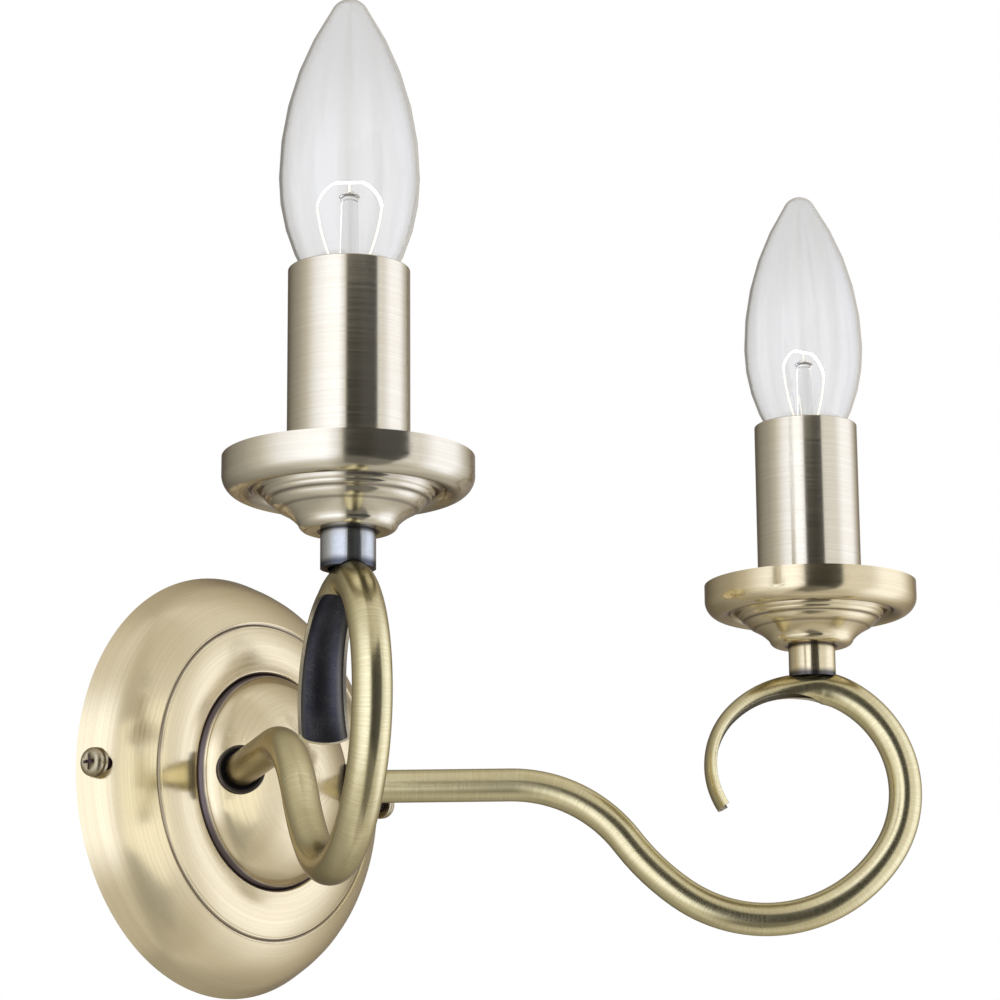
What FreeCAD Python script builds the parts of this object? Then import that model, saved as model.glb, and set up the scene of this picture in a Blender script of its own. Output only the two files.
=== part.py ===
"""Double arm wall sconce: a spun wall canopy, two scrolled tube arms and two candle lamps.

Frame: millimetres, +Z up. The origin is the centre of the canopy's back on the wall,
the wall is the plane Y = 0 and the fitting stands out from it towards -Y.
"""
import FreeCAD, Part
import math
import os
import Sketcher

from FreeCAD import Placement, Rotation, Vector

os.makedirs("parts", exist_ok=True)
doc = FreeCAD.newDocument("wall_sconce")
sheet = doc.addObject("Spreadsheet::Sheet", "Sizes")
OUT = []            # every finished sub-part, in the order it was made
SIDES = {"left": -1, "right": 1}


# ---------------------------------------------------------------- sizes and expressions

class Size:
    """A number together with the sheet expression that it comes from."""

    def __init__(self, value, text=None):
        self.value = float(value)
        self.text = text if text else f"({self.value:.6f})"

    @staticmethod
    def of(other):
        return other if isinstance(other, Size) else Size(other)

    def join(self, sign, other, value):
        return Size(value, f"({self.text} {sign} {Size.of(other).text})")

    def __add__(self, other):
        return self.join("+", other, self.value + Size.of(other).value)

    def __radd__(self, other):
        return Size.of(other) + self

    def __sub__(self, other):
        return self.join("-", other, self.value - Size.of(other).value)

    def __rsub__(self, other):
        return Size.of(other) - self

    def __mul__(self, other):
        return self.join("*", other, self.value * Size.of(other).value)

    def __rmul__(self, other):
        return Size.of(other) * self

    def __truediv__(self, other):
        return self.join("/", other, self.value / Size.of(other).value)

    def __neg__(self):
        return self * -1


def sine(angle):
    return Size(math.sin(math.radians(angle.value)), f"sin({angle.text})")


def cosine(angle):
    return Size(math.cos(math.radians(angle.value)), f"cos({angle.text})")


def root(area):
    return Size(math.sqrt(area.value), f"sqrt({area.text})")


def cell(alias, value, meaning):
    """One driving dimension: a row of the sheet with its number, alias and meaning."""
    cell.row += 1
    sheet.set(f"A{cell.row}", meaning)
    sheet.set(f"B{cell.row}", str(value))
    sheet.setAlias(f"B{cell.row}", alias)
    return Size(value, f"Sizes.{alias}")


cell.row = 0

# canopy on the wall
canopy_radius = cell("canopy_radius", 60.5, "canopy, radius at the wall")
canopy_wall = cell("canopy_wall", 1.2, "canopy, sheet thickness")
flare_depth = cell("flare_depth", 4.4, "canopy, depth of the straight flare at the wall")
flare_inset = cell("flare_inset", 2.0, "canopy, how far the flare leans in")
shoulder_depth = cell("shoulder_depth", 12.9, "canopy, depth where the rounded side ends")
shoulder_inset = cell("shoulder_inset", 9.1, "canopy, how far in the rounded side ends")
shoulder_arc = cell("shoulder_arc", 22.0, "canopy, radius of the rounded side")
ring_radius = cell("ring_radius", 44.9, "canopy, radius of the fine groove")
ring_depth = cell("ring_depth", 16.45, "canopy, depth of the face at the fine groove")
ring_groove = cell("ring_groove", 0.7, "canopy, depth and half width of the fine groove")
face_rise = cell("face_rise", 1.3, "canopy, rise of the flat face from groove to groove")
foot_radius = cell("foot_radius", 30.6, "canopy, radius of the deep groove round the dome")
foot_groove = cell("foot_groove", 1.1, "canopy, depth of the deep groove")
dome_radius = cell("dome_radius", 38.5, "dome, radius of its sphere")
dome_behind = cell("dome_behind", 5.0, "dome, how far its centre lies behind the wall plane")

# arms: a straight run, a bend down, and the scroll that carries the lamp
arm_angle = cell("arm_angle", 36.3, "arm, angle from straight out to its own side")
tube_radius = cell("tube_radius", 4.75, "arm tube, outer radius")
tube_wall = cell("tube_wall", 0.8, "arm tube, wall")
arm_root = cell("arm_root", 15.49, "arm, length inside the dome on the wall side of the tube")
arm_straight = cell("arm_straight", 47.1, "arm, straight length outside the dome")
bend_radius = cell("bend_radius", 41.6, "arm, radius of the bend down")
bend_turn = cell("bend_turn", 52.75, "arm, angle of the bend down")
bend_run = cell("bend_run", 0.9, "arm, short straight run after the bend")
entry_radius = cell("entry_radius", 69.0, "scroll, radius of its easy entry")
entry_turn = cell("entry_turn", 17.2, "scroll, angle of its entry")
scroll_radius = cell("scroll_radius", 42.0, "scroll, radius of its lower turn")
scroll_turn = cell("scroll_turn", 92.0, "scroll, angle of its lower turn")
crown_radius = cell("crown_radius", 31.8, "scroll, radius of its upper turn")
lamp_offset = cell("lamp_offset", 6.2, "lamp axis, distance beyond the top of the scroll")
tail_radius = cell("tail_radius", 31.7, "scroll tail, radius of the back's first turn")
tail_sink = cell("tail_sink", 2.3, "scroll tail, how far its back lies under the tube's top")
tail_shift = cell("tail_shift", 3.9, "scroll tail, first turn's centre beyond the scroll's top")
tail_turn = cell("tail_turn", 45.0, "scroll tail, angle of the first turn past the top")
curl_radius = cell("curl_radius", 24.5, "scroll tail, radius of the back's last turn")
curl_turn = cell("curl_turn", 77.0, "scroll tail, angle of the last turn")
tail_start = cell("tail_start", 163.0, "scroll tail, heading where the tube opens into it")
tube_end = cell("tube_end", 168.0, "arm tube, heading where it stops inside the tail")
tip_width = cell("tip_width", 13.0, "scroll tail, width of the flattened tip")
tip_depth = cell("tip_depth", 3.5, "scroll tail, depth of the flattened tip")
wire_hole = cell("wire_hole", 3.0, "arm tube, radius of the wire hole under the lamp")

# collar, washer and nut of each arm on the dome
collar_radius = cell("collar_radius", 2.05, "arm collar, outer radius beyond the tube's")
collar_height = cell("collar_height", 2.8, "arm collar, height")
collar_recess = cell("collar_recess", 1.9, "arm collar, depth of the recess round the tube")
collar_lip = cell("collar_lip", 0.8, "arm collar, width of its lip")
nut_flats = cell("nut_flats", 14.0, "lock nuts, width across flats")
nut_height = cell("nut_height", 3.0, "lock nuts, height")
washer_radius = cell("washer_radius", 8.0, "lock washers, outer radius")
washer_height = cell("washer_height", 0.8, "lock washers, thickness")
washer_teeth = cell("washer_teeth", 12, "lock washers, number of teeth")

# ferrule, drip pan and candle sleeve of each lamp
ferrule_radius = cell("ferrule_radius", 6.75, "ferrule, outer radius")
ferrule_rise = cell("ferrule_rise", 10.5, "ferrule, its top above the scroll's centre line")
ferrule_drop = cell("ferrule_drop", 9.1, "ferrule, height")
nipple_radius = cell("nipple_radius", 5.0, "threaded nipple, outer radius")
nipple_wall = cell("nipple_wall", 1.1, "threaded nipple, wall")
nipple_below = cell("nipple_below", 5.1, "threaded nipple, length inside the ferrule")
nipple_above = cell("nipple_above", 16.5, "threaded nipple, length above the ferrule")
pan_radius = cell("pan_radius", 30.7, "drip pan, radius of its rim")
pan_height = cell("pan_height", 18.3, "drip pan, height")
pan_wall = cell("pan_wall", 0.9, "drip pan, sheet thickness")
pan_band = cell("pan_band", 4.9, "drip pan, height of the upright band")
cup_offset = cell("cup_offset", 0.35, "drip pan, recess inside the middle of sleeve and rim")
sleeve_radius = cell("sleeve_radius", 15.0, "candle sleeve, outer radius")
sleeve_wall = cell("sleeve_wall", 0.7, "candle sleeve, wall")
sleeve_top = cell("sleeve_top", 47.3, "candle sleeve, its top above the pan's rim")
sleeve_seat = cell("sleeve_seat", 5.6, "candle sleeve, its foot above the pan's foot")

# candle bulb
bulb_radius = cell("bulb_radius", 17.4, "bulb, largest radius of the glass")
bulb_above = cell("bulb_above", 70.6, "bulb, its tip above the sleeve")
bulb_length = cell("bulb_length", 98.5, "bulb, length from tip to contact")
bulb_belly = cell("bulb_belly", 23.6, "bulb, its largest radius above the sleeve")
glass_wall = cell("glass_wall", 0.6, "bulb, glass thickness")
cap_radius = cell("cap_radius", 6.9, "bulb cap, radius over the thread")
cap_height = cell("cap_height", 17.0, "bulb cap, height of its shell")
cap_pitch = cell("cap_pitch", 2.82, "bulb cap, thread pitch")
thread_depth = cell("thread_depth", 0.5, "bulb cap, depth of the rolled thread")
tip_radius = cell("tip_radius", 4.6, "bulb, radius where the pointed tip is rounded off")
tip_flat = cell("tip_flat", 0.4, "bulb, radius of the small flat on the tip")
tip_round = cell("tip_round", 3.0, "bulb, length of the rounded tip")
mouth_inset = cell("mouth_inset", 6.0, "bulb, how much narrower the glass is at the sleeve")
neck_inset = cell("neck_inset", 1.2, "bulb, neck of the glass inside the cap's thread")
neck_length = cell("neck_length", 6.0, "bulb, length of the neck inside the cap")
neck_flare = cell("neck_flare", 1.4, "bulb, height of the cone between cap and belly")
lead_radius = cell("lead_radius", 0.25, "bulb, radius of the lead wires")
hoop_half = cell("hoop_half", 8.0, "bulb, half width of the wire hoop")
hoop_rise = cell("hoop_rise", 22.7, "bulb, top of the filament above the sleeve")
filament_radius = cell("filament_radius", 0.3, "bulb, radius of the coiled filament")

# lampholder
holder_radius = cell("holder_radius", 12.6, "lampholder, outer radius")
holder_wall = cell("holder_wall", 1.8, "lampholder, wall of the skirt")
shell_clear = cell("shell_clear", 0.3, "lampholder, clearance round the bulb cap")
shell_wall = cell("shell_wall", 0.6, "lampholder, wall of the metal shell")
slip_clear = cell("slip_clear", 0.05, "clearance of a threaded or pushed fit")
terminal_offset = cell("terminal_offset", 5.2, "lampholder terminals, distance from the axis")
terminal_drop = cell("terminal_drop", 10.5, "lampholder terminals, foot below the contact")

# bracket, screws and connector behind the canopy
bracket_half = cell("bracket_half", 50.5, "bracket, half length over its bent ears")
bracket_width = cell("bracket_width", 24.0, "bracket, width of the strip")
bracket_gauge = cell("bracket_gauge", 1.5, "bracket, thickness")
ear_width = cell("ear_width", 12.0, "bracket, width of an ear")
ear_depth = cell("ear_depth", 11.0, "bracket, depth of an ear")
screw_depth = cell("screw_depth", 7.0, "side screws, distance from the wall")
screw_radius = cell("screw_radius", 1.9, "side screws, radius of the shank")
screw_head = cell("screw_head", 4.0, "side screws, radius of the head")
screw_rise = cell("screw_rise", 2.7, "side screws, height of the head")
screw_length = cell("screw_length", 12.0, "side screws, length under the head")
screw_clear = cell("screw_clear", 0.1, "side screws, clearance of the shank in the ear")
side_washer = cell("side_washer", 4.2, "side screws, radius of the washer")
slot_spacing = cell("slot_spacing", 82.0, "bracket, distance between the wall slots")
slot_length = cell("slot_length", 11.0, "bracket, length of a wall slot")
slot_half = cell("slot_half", 2.3, "bracket, half width of a wall slot")
cable_hole = cell("cable_hole", 7.0, "bracket, radius of the cable entry")
earth_offset = cell("earth_offset", 18.0, "bracket, earth screw from the centre")
earth_radius = cell("earth_radius", 1.45, "earth screw, radius of the shank")
block_length = cell("block_length", 25.0, "connector, length over its three poles")
block_width = cell("block_width", 14.0, "connector, width")
block_height = cell("block_height", 12.0, "connector, height")
block_start = cell("block_start", 18.0, "connector, its near side from the centre")
pole_pitch = cell("pole_pitch", 8.0, "connector, distance between poles")
peg_radius = cell("peg_radius", 1.4, "connector, radius of its pegs in the bracket")
wire_radius = cell("wire_radius", 0.9, "wires, radius over the insulation")
wire_apart = cell("wire_apart", 2.0, "wires, distance between the two in a tube")
wire_leaves = cell("wire_leaves", 160.0, "wires, heading where they turn up out of the tube")
wire_bend = cell("wire_bend", 2.8, "wires, radius of their corners")

TAIL_STATIONS = 11                              # sections of the scroll tail
THREAD_TURNS = 4                                # turns of the bulb caps' thread
HOOP_TURNS = {"left": -52.0, "right": -15.0}    # how the bulbs happen to be screwed in
TAG_LENGTH = 8.0                                # earth tag, from its screw to its barrel's end

# ---------------------------------------------------------------- sketches and solids


def centre_of_arc(start, end, radius):
    """Centre of the arc from start to end; a positive radius turns left."""
    chord = end - start
    half = chord.Length / 2
    away = math.sqrt(max(radius * radius - half * half, 0.0))
    normal = Vector(-chord.y, chord.x, 0).normalize()
    return (start + end) * 0.5 + normal * math.copysign(away, radius)


def origin_part(body, role):
    return next(f for f in body.Origin.OriginFeatures if f.Role == role)


def outline_sketch(body, name, role, corners):
    """A closed outline. A corner is (x, y) or (x, y, radius of the arc that leads to it)."""
    sketch = body.newObject("Sketcher::SketchObject", name)
    sketch.AttachmentSupport = [(origin_part(body, role), "")]
    sketch.MapMode = "FlatFace"
    sizes = [(Size.of(c[0]), Size.of(c[1])) for c in corners]
    points = [Vector(x.value, y.value, 0) for x, y in sizes]
    ends = []       # (geometry, point number) where each edge starts and ends
    for i, corner in enumerate(corners):
        start, end = points[i - 1], points[i]
        if len(corner) == 2:
            edge = sketch.addGeometry(Part.LineSegment(start, end), False)
            ends.append(((edge, 1), (edge, 2)))
            continue
        radius = Size.of(corner[2])
        centre = centre_of_arc(start, end, radius.value)
        left = radius.value > 0
        first, last = (start, end) if left else (end, start)
        angles = [math.atan2(p.y - centre.y, p.x - centre.x) for p in (first, last)]
        if angles[1] < angles[0]:
            angles[1] += 2 * math.pi
        circle = Part.Circle(centre, Vector(0, 0, 1), abs(radius.value))
        edge = sketch.addGeometry(Part.ArcOfCircle(circle, *angles), False)
        ends.append(((edge, 1), (edge, 2)) if left else ((edge, 2), (edge, 1)))
        rule = sketch.addConstraint(Sketcher.Constraint("Radius", edge, abs(radius.value)))
        sketch.setExpression(f"Constraints[{rule}]", radius.text if left else (-radius).text)
    for i, (x, y) in enumerate(sizes):
        here, after = ends[i][1], ends[(i + 1) % len(ends)][0]
        sketch.addConstraint(Sketcher.Constraint("Coincident", *here, *after))
        for kind, size in (("DistanceX", x), ("DistanceY", y)):
            rule = sketch.addConstraint(Sketcher.Constraint(kind, -1, 1, *here, size.value))
            sketch.setExpression(f"Constraints[{rule}]", size.text)
    return sketch


def finish(part, label, at=(0, 0, 0), turn=None):
    """Name a sub-part, put it in its place and keep it for export."""
    part.Label = label
    if turn:
        axis, angle = turn
        part.Placement = Placement(Vector(), Rotation(Vector(*axis), angle))
    for direction, size in zip("xyz", at):
        part.setExpression(f"Placement.Base.{direction}", Size.of(size).text)
    OUT.append(part)
    return part


def new_body(name):
    return doc.addObject("PartDesign::Body", name)


def spun(body, corners, name="outline"):
    """Turn an outline of (radius, height) corners round the body's own Z axis."""
    sketch = outline_sketch(body, f"{body.Name}_{name}", "XZ_Plane", corners)
    turned = body.newObject("PartDesign::Revolution", f"{body.Name}_{name}_spun")
    turned.Profile = sketch
    turned.ReferenceAxis = (sketch, ["V_Axis"])
    turned.Angle = 360
    return turned


def bound(feature, **sizes):
    for key, size in sizes.items():
        feature.setExpression(key, Size.of(size).text)


def primitive(body, kind, name, at=(0, 0, 0), turn=None, **sizes):
    """A box, cylinder or prism added to or cut from a body."""
    feature = body.newObject(f"PartDesign::{kind}", f"{body.Name}_{name}")
    bound(feature, **sizes)
    if turn:
        axis, angle = turn
        feature.Placement = Placement(Vector(), Rotation(Vector(*axis), angle))
    for direction, size in zip("xyz", at):
        feature.setExpression(f"Placement.Base.{direction}", Size.of(size).text)
    return feature


def feature_part(label, shape):
    part = doc.addObject("Part::Feature", label)
    part.Shape = shape
    part.Label = label
    OUT.append(part)
    return part


# ---------------------------------------------------------------- places that follow from the sizes

TO_WALL = ((1, 0, 0), 90)               # turns a spun piece's +Z towards -Y, out of the wall

entry_head = bend_turn - entry_turn     # how steeply the scroll still falls after its entry
scroll_head = scroll_turn - entry_head  # how steeply it climbs after its lower turn
bend_at = dome_radius + arm_straight    # distances along the arm, from the dome's centre
fall_at = bend_at + bend_radius * sine(bend_turn)
entry_at = fall_at + bend_run * cosine(bend_turn)
lower_at = entry_at + entry_radius * (sine(bend_turn) - sine(entry_head))
upper_at = lower_at + scroll_radius * (sine(scroll_head) + sine(entry_head))
top_at = upper_at - crown_radius * sine(scroll_head)
lamp_at = top_at + lamp_offset

fall_z = -(bend_radius * (1 - cosine(bend_turn)))
entry_z = fall_z - bend_run * sine(bend_turn)
lower_z = entry_z - entry_radius * (cosine(entry_head) - cosine(bend_turn))
upper_z = lower_z + scroll_radius * (cosine(entry_head) - cosine(scroll_head))
top_z = upper_z + crown_radius * (cosine(scroll_head) + 1)

lamp_x = lamp_at * sine(arm_angle)
lamp_y = dome_behind - lamp_at * cosine(arm_angle)
ferrule_z = top_z + ferrule_rise        # the drip pan stands on this height
rim_z = ferrule_z + pan_height
sleeve_z = rim_z + sleeve_top
tip_z = sleeve_z + bulb_above
contact_z = tip_z - bulb_length
cap_foot_z = contact_z + 2.5            # bottom of the cap's metal shell
cap_top_z = cap_foot_z + cap_height
terminal_z = contact_z - terminal_drop
insert_depth = bracket_gauge + block_height / 2     # the connector's bores, from the wall


def arm_vector(side):
    """Unit vector along an arm, away from the wall."""
    angle = math.radians(arm_angle.value)
    return Vector(side * math.sin(angle), -math.cos(angle), 0)


def arm_point(side, along, height, across=0.0):
    """A point of an arm's own plane: distance from the dome's centre, height and offset."""
    out = arm_vector(side)
    beside = Vector(-out.y, out.x, 0)
    return Vector(0, dome_behind.value, height) + out * along + beside * across


def arm_turn(side):
    """Rotation that lays a spun piece's +Z along an arm."""
    return Rotation(Vector(0, 0, 1), arm_vector(side))


def lamp_place(side):
    return (lamp_x * side, lamp_y, 0)


# ---------------------------------------------------------------- canopy

def make_canopy():
    body = new_body("canopy")
    wall = canopy_wall
    face_depth = ring_depth + face_rise
    dome_start = foot_radius - 0.9
    dome_inner = dome_radius - wall
    inner_start = dome_start - wall
    dome_edge = root(dome_radius * dome_radius - dome_start * dome_start) - dome_behind
    inner_edge = root(dome_inner * dome_inner - inner_start * inner_start) - dome_behind
    spun(body, [
        (canopy_radius - wall, 0),
        (canopy_radius, 0),
        (canopy_radius - flare_inset, flare_depth),
        (canopy_radius - shoulder_inset, shoulder_depth, shoulder_arc),
        (ring_radius + ring_groove, ring_depth, 2 * shoulder_arc),
        (ring_radius, ring_depth - ring_groove),
        (ring_radius - ring_groove, ring_depth + 0.1),
        (foot_radius + ring_groove, face_depth),
        (foot_radius, face_depth - foot_groove),
        (dome_start, dome_edge),
        (0, dome_radius - dome_behind, dome_radius),
        (0, dome_inner - dome_behind),
        (inner_start, inner_edge, -dome_inner),
        (foot_radius - wall, ring_depth - wall),
        (ring_radius, ring_depth - 2 * wall + ring_groove),
        (canopy_radius - shoulder_inset - wall, shoulder_depth - wall, -2 * shoulder_arc + wall),
        (canopy_radius - flare_inset - wall, flare_depth, wall - shoulder_arc),
    ])
    for name, side in SIDES.items():
        primitive(body, "SubtractiveCylinder", f"arm_hole_{name}", at=(0, 0, -dome_behind),
                  turn=((0, 1, 0), arm_angle.value * side), Radius=tube_radius + slip_clear,
                  Height=dome_radius * 2)
        primitive(body, "SubtractiveCylinder", f"screw_hole_{name}", at=(0, 0, screw_depth),
                  turn=((0, 1, 0), 90 * side), Radius=screw_radius + 2 * screw_clear,
                  Height=canopy_radius * 2)
    return finish(body, "canopy", turn=TO_WALL)


# ---------------------------------------------------------------- bracket, earth screw and connector

def make_bracket():
    body = new_body("wall_bracket")
    half, gauge = bracket_half, bracket_gauge
    primitive(body, "AdditiveBox", "strip", at=(-half, -gauge, -bracket_width / 2),
              Length=half * 2, Width=gauge, Height=bracket_width)
    for name, side in SIDES.items():
        ear_x = half * side - gauge * (1 if side > 0 else 0)
        primitive(body, "AdditiveBox", f"ear_{name}", at=(ear_x, -ear_depth, -ear_width / 2),
                  Length=gauge, Width=ear_depth, Height=ear_width)
        primitive(body, "SubtractiveCylinder", f"ear_hole_{name}",
                  at=(half * side, -screw_depth, 0), turn=((0, 1, 0), -90 * side),
                  Radius=screw_radius + screw_clear, Height=gauge * 2)
        start = slot_spacing / 2 * side - (slot_length / 2 - slot_half)
        for end in (0, 1):
            primitive(body, "SubtractiveCylinder", f"slot_end_{name}_{end}",
                      at=(start + (slot_length - 2 * slot_half) * end, 0, 0),
                      turn=((1, 0, 0), 90), Radius=slot_half, Height=gauge)
        primitive(body, "SubtractiveBox", f"slot_{name}", at=(start, -gauge, -slot_half),
                  Length=slot_length - 2 * slot_half, Width=gauge, Height=slot_half * 2)
    for name, x, radius in (("cable", 0, cable_hole),
                            ("earth", -earth_offset, earth_radius + slip_clear)):
        primitive(body, "SubtractiveCylinder", f"{name}_hole", at=(x, 0, 0),
                  turn=((1, 0, 0), 90), Radius=radius, Height=gauge)
    for end in (-1, 1):
        primitive(body, "SubtractiveCylinder", f"peg_hole_{end + 1}",
                  at=(block_start + block_width / 2, 0, pole_pitch / 2 * end),
                  turn=((1, 0, 0), 90), Radius=peg_radius + slip_clear, Height=gauge)
    return finish(body, "wall_bracket")


def make_earth():
    """Earth screw with its cup washer and the ring tag of the earth wire."""
    at = (-earth_offset, -bracket_gauge, 0)
    hole = earth_radius + slip_clear
    gauge = 0.8             # sheet of the washer and of the tag
    head = 3.2              # radius of the screw's head
    washer = new_body("earth_washer")
    spun(washer, [(hole, 0), (head + 1.0, 0), (head + 1.0, gauge), (hole, gauge)])
    finish(washer, "earth_washer", at, TO_WALL)
    tag = new_body("earth_tag")
    ring = head + 0.7
    spun(tag, [(hole, gauge), (ring, gauge), (ring, 2 * gauge), (hole, 2 * gauge)])
    barrel = head + 4 * slip_clear      # where the barrel starts, clear of the head
    primitive(tag, "AdditiveBox", "barrel", at=(barrel, -1.3, gauge),
              Length=TAG_LENGTH - barrel, Width=2.6, Height=3 * gauge)
    finish(tag, "earth_tag", at, TO_WALL)
    screw = new_body("earth_screw")
    seat = 2 * gauge
    spun(screw, [(0, -bracket_gauge), (earth_radius, -bracket_gauge), (earth_radius, seat),
                 (head, seat), (head, seat + 1.0), (head - 1.0, seat + 2.0, 1.1), (0, seat + 2.0)])
    primitive(screw, "SubtractiveBox", "slot", at=(-head - 0.3, -0.4, seat + 1.2),
              Length=2 * head + 0.6, Width=0.8, Height=1)
    finish(screw, "earth_screw", at, TO_WALL)


def make_connector():
    """Three pole connector: housing, brass inserts and their clamping screws."""
    body = new_body("connector_housing")
    insert_y = -insert_depth
    insert_radius = 2.05
    well_offset = 3.0       # each pole's two clamping screws, from the middle
    primitive(body, "AdditiveBox", "block",
              at=(block_start, -bracket_gauge - block_height, -block_length / 2),
              Length=block_width, Width=block_height, Height=block_length)
    middle = block_start + block_width / 2
    for end in (-1, 1):
        primitive(body, "AdditiveCylinder", f"peg_{end + 1}", turn=((1, 0, 0), 90),
                  at=(middle, 0, pole_pitch / 2 * end), Radius=peg_radius, Height=bracket_gauge)
    for pole in (-1, 0, 1):
        height = pole_pitch * pole
        primitive(body, "SubtractiveCylinder", f"bore_{pole + 1}", turn=((0, 1, 0), 90),
                  at=(block_start, insert_y, height), Radius=insert_radius + slip_clear,
                  Height=block_width)
        for well in (-1, 1):
            primitive(body, "SubtractiveCylinder", f"well_{pole + 1}_{well + 1}",
                      turn=((1, 0, 0), 90), at=(middle + well_offset * well, insert_y, height),
                      Radius=1.75, Height=block_height / 2)
    finish(body, "connector_housing")
    inserts = []
    screws = []
    y, x = insert_y.value, middle.value
    length = block_width.value - 3
    out, along = Vector(0, -1, 0), Vector(1, 0, 0)
    for pole in (-1, 0, 1):
        z = pole_pitch.value * pole
        start = Vector(x - length / 2, y, z)
        tube = Part.makeCylinder(insert_radius, length, start, along)
        tube = tube.cut(Part.makeCylinder(insert_radius - 0.85, length, start, along))
        for well in (-well_offset, well_offset):
            tube = tube.cut(Part.makeCylinder(1.05, 3, Vector(x + well, y, z), out))
            screw = Part.makeCylinder(1.0, 2.2, Vector(x + well, y - 0.9, z), out)
            screw = screw.fuse(Part.makeCylinder(1.6, 1.6, Vector(x + well, y - 3.1, z), out))
            slot = Part.makeBox(4, 0.8, 0.5, Vector(x + well - 2, y - 4.75, z - 0.25))
            screws.append(screw.cut(slot).removeSplitter())
        inserts.append(tube)
    feature_part("connector_inserts", Part.makeCompound(inserts))
    feature_part("connector_screws", Part.makeCompound(screws))


# ---------------------------------------------------------------- arms

def turned_point(centre_along, centre_z, radius, heading):
    """Point of a left-hand turn where the tube heads at the given angle, in degrees."""
    angle = math.radians(heading)
    return centre_along + radius * math.sin(angle), centre_z - radius * math.cos(angle)


def arm_turns():
    """The arm's turns: centre along, centre height, signed radius, headings at both ends."""
    fall = -bend_turn.value
    enter = -entry_head.value
    climb = scroll_head.value
    return [
        (bend_at.value, -bend_radius.value, -bend_radius.value, 0.0, fall),
        (lower_at.value - entry_radius.value * math.sin(math.radians(enter)),
         lower_z.value + entry_radius.value * math.cos(math.radians(enter)),
         entry_radius.value, fall, enter),
        (lower_at.value - scroll_radius.value * math.sin(math.radians(enter)),
         lower_z.value + scroll_radius.value * math.cos(math.radians(enter)),
         scroll_radius.value, enter, climb),
        (top_at.value, top_z.value - crown_radius.value, crown_radius.value, climb, 180.0),
    ]


def arm_start():
    """Where the tube starts, from the dome's centre, cut back to clear the connector."""
    return (dome_radius.value - arm_root.value
            + tube_radius.value * math.tan(math.radians(arm_angle.value)))


def arm_edges(side, across, last_heading):
    """Lines and tangent arcs of the tube's centre line, offset sideways in the tube."""
    def place(along, height):
        return arm_point(side, along, height, across)

    edges = [Part.LineSegment(place(arm_start(), 0),
                              place(bend_at.value, 0)).toShape()]
    for number, (along, height, radius, first, last) in enumerate(arm_turns()):
        if number == 1:
            edges.append(Part.LineSegment(place(fall_at.value, fall_z.value),
                                          place(entry_at.value, entry_z.value)).toShape())
        last = min(last, last_heading)
        points = [place(*turned_point(along, height, radius, heading))
                  for heading in (first, (first + last) / 2, last)]
        edges.append(Part.Arc(*points).toShape())
    return edges


def pipe(edges, radius):
    """A round bar along a chain of edges."""
    first = edges[0].FirstParameter
    circle = Part.Circle(edges[0].valueAt(first), edges[0].tangentAt(first), radius)
    circle = Part.Wire(circle.toShape())
    return Part.Wire(edges).makePipeShell([circle], True, False)


def half_ellipse(centre, across, inward, half_width, depth):
    """Half an ellipse from one rim over the back to the other rim, as one curve."""
    rim = inward * depth
    side = across * half_width
    poles = [centre + rim + side, centre + side, centre, centre - side, centre + rim - side]
    corner = math.sqrt(0.5)
    curve = Part.BSplineCurve()
    curve.buildFromPolesMultsKnots(poles, [3, 2, 3], [0, 0.5, 1], False, 2,
                                   [1, corner, 1, corner, 1])
    return curve


def trough(side, along, height, heading, half_width, depth):
    """Outline of the tail's section: a trough open towards the scroll's centre."""
    angle = math.radians(heading)
    inward = arm_vector(side) * -math.sin(angle) + Vector(0, 0, math.cos(angle))
    across = Vector(0, 0, 1).cross(arm_vector(side))
    centre = arm_point(side, along, height)
    wall = tube_wall.value
    back = half_ellipse(centre, across, inward, half_width, depth)
    front = half_ellipse(centre + inward * wall, across, inward, half_width - wall, depth - wall)
    ends = [[c.value(c.FirstParameter), c.value(c.LastParameter)] for c in (back, front)]
    return Part.Wire([back.toShape(), Part.LineSegment(ends[0][1], ends[1][1]).toShape(),
                      front.toShape(), Part.LineSegment(ends[1][0], ends[0][0]).toShape()])


def tail_sections(side):
    """Sections of the tail, from the round tube to the wide flat tip."""
    first = (top_at.value + tail_shift.value,
             top_z.value + tube_radius.value - tail_sink.value - tail_radius.value,
             tail_radius.value)
    turn_end = 180 + tail_turn.value
    shift = tail_radius.value - curl_radius.value
    angle = math.radians(turn_end)
    last = (first[0] + shift * math.sin(angle), first[1] - shift * math.cos(angle),
            curl_radius.value)
    finish_at = turn_end + curl_turn.value
    sections = []
    for station in range(TAIL_STATIONS):
        share = station / (TAIL_STATIONS - 1)
        heading = tail_start.value + (finish_at - tail_start.value) * share
        turn = first if heading <= turn_end else last
        along, height = turned_point(*turn, heading)
        depth = tip_depth.value + (2 * tube_radius.value - tip_depth.value) * (1 - share) ** 4
        width = tube_radius.value + (tip_width.value / 2 - tube_radius.value) * share
        sections.append(trough(side, along, height, heading, width, depth))
    return sections


def make_arm(name, side):
    edges = arm_edges(side, 0.0, tube_end.value)
    outer = pipe(edges, tube_radius.value)
    inner = pipe(edges, tube_radius.value - tube_wall.value)
    tube = outer.cut(inner)
    tail = Part.makeLoft(tail_sections(side), True, False)
    arm = tube.fuse(tail)
    lamp = arm_point(side, lamp_at.value, top_z.value - tube_radius.value * 0.5)
    arm = arm.cut(Part.makeCylinder(wire_hole.value, 4 * tube_radius.value, lamp, Vector(0, 0, 1)))
    solids = sorted(arm.Solids, key=lambda solid: solid.Volume)
    return feature_part(f"arm_{name}", solids[-1])


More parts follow.
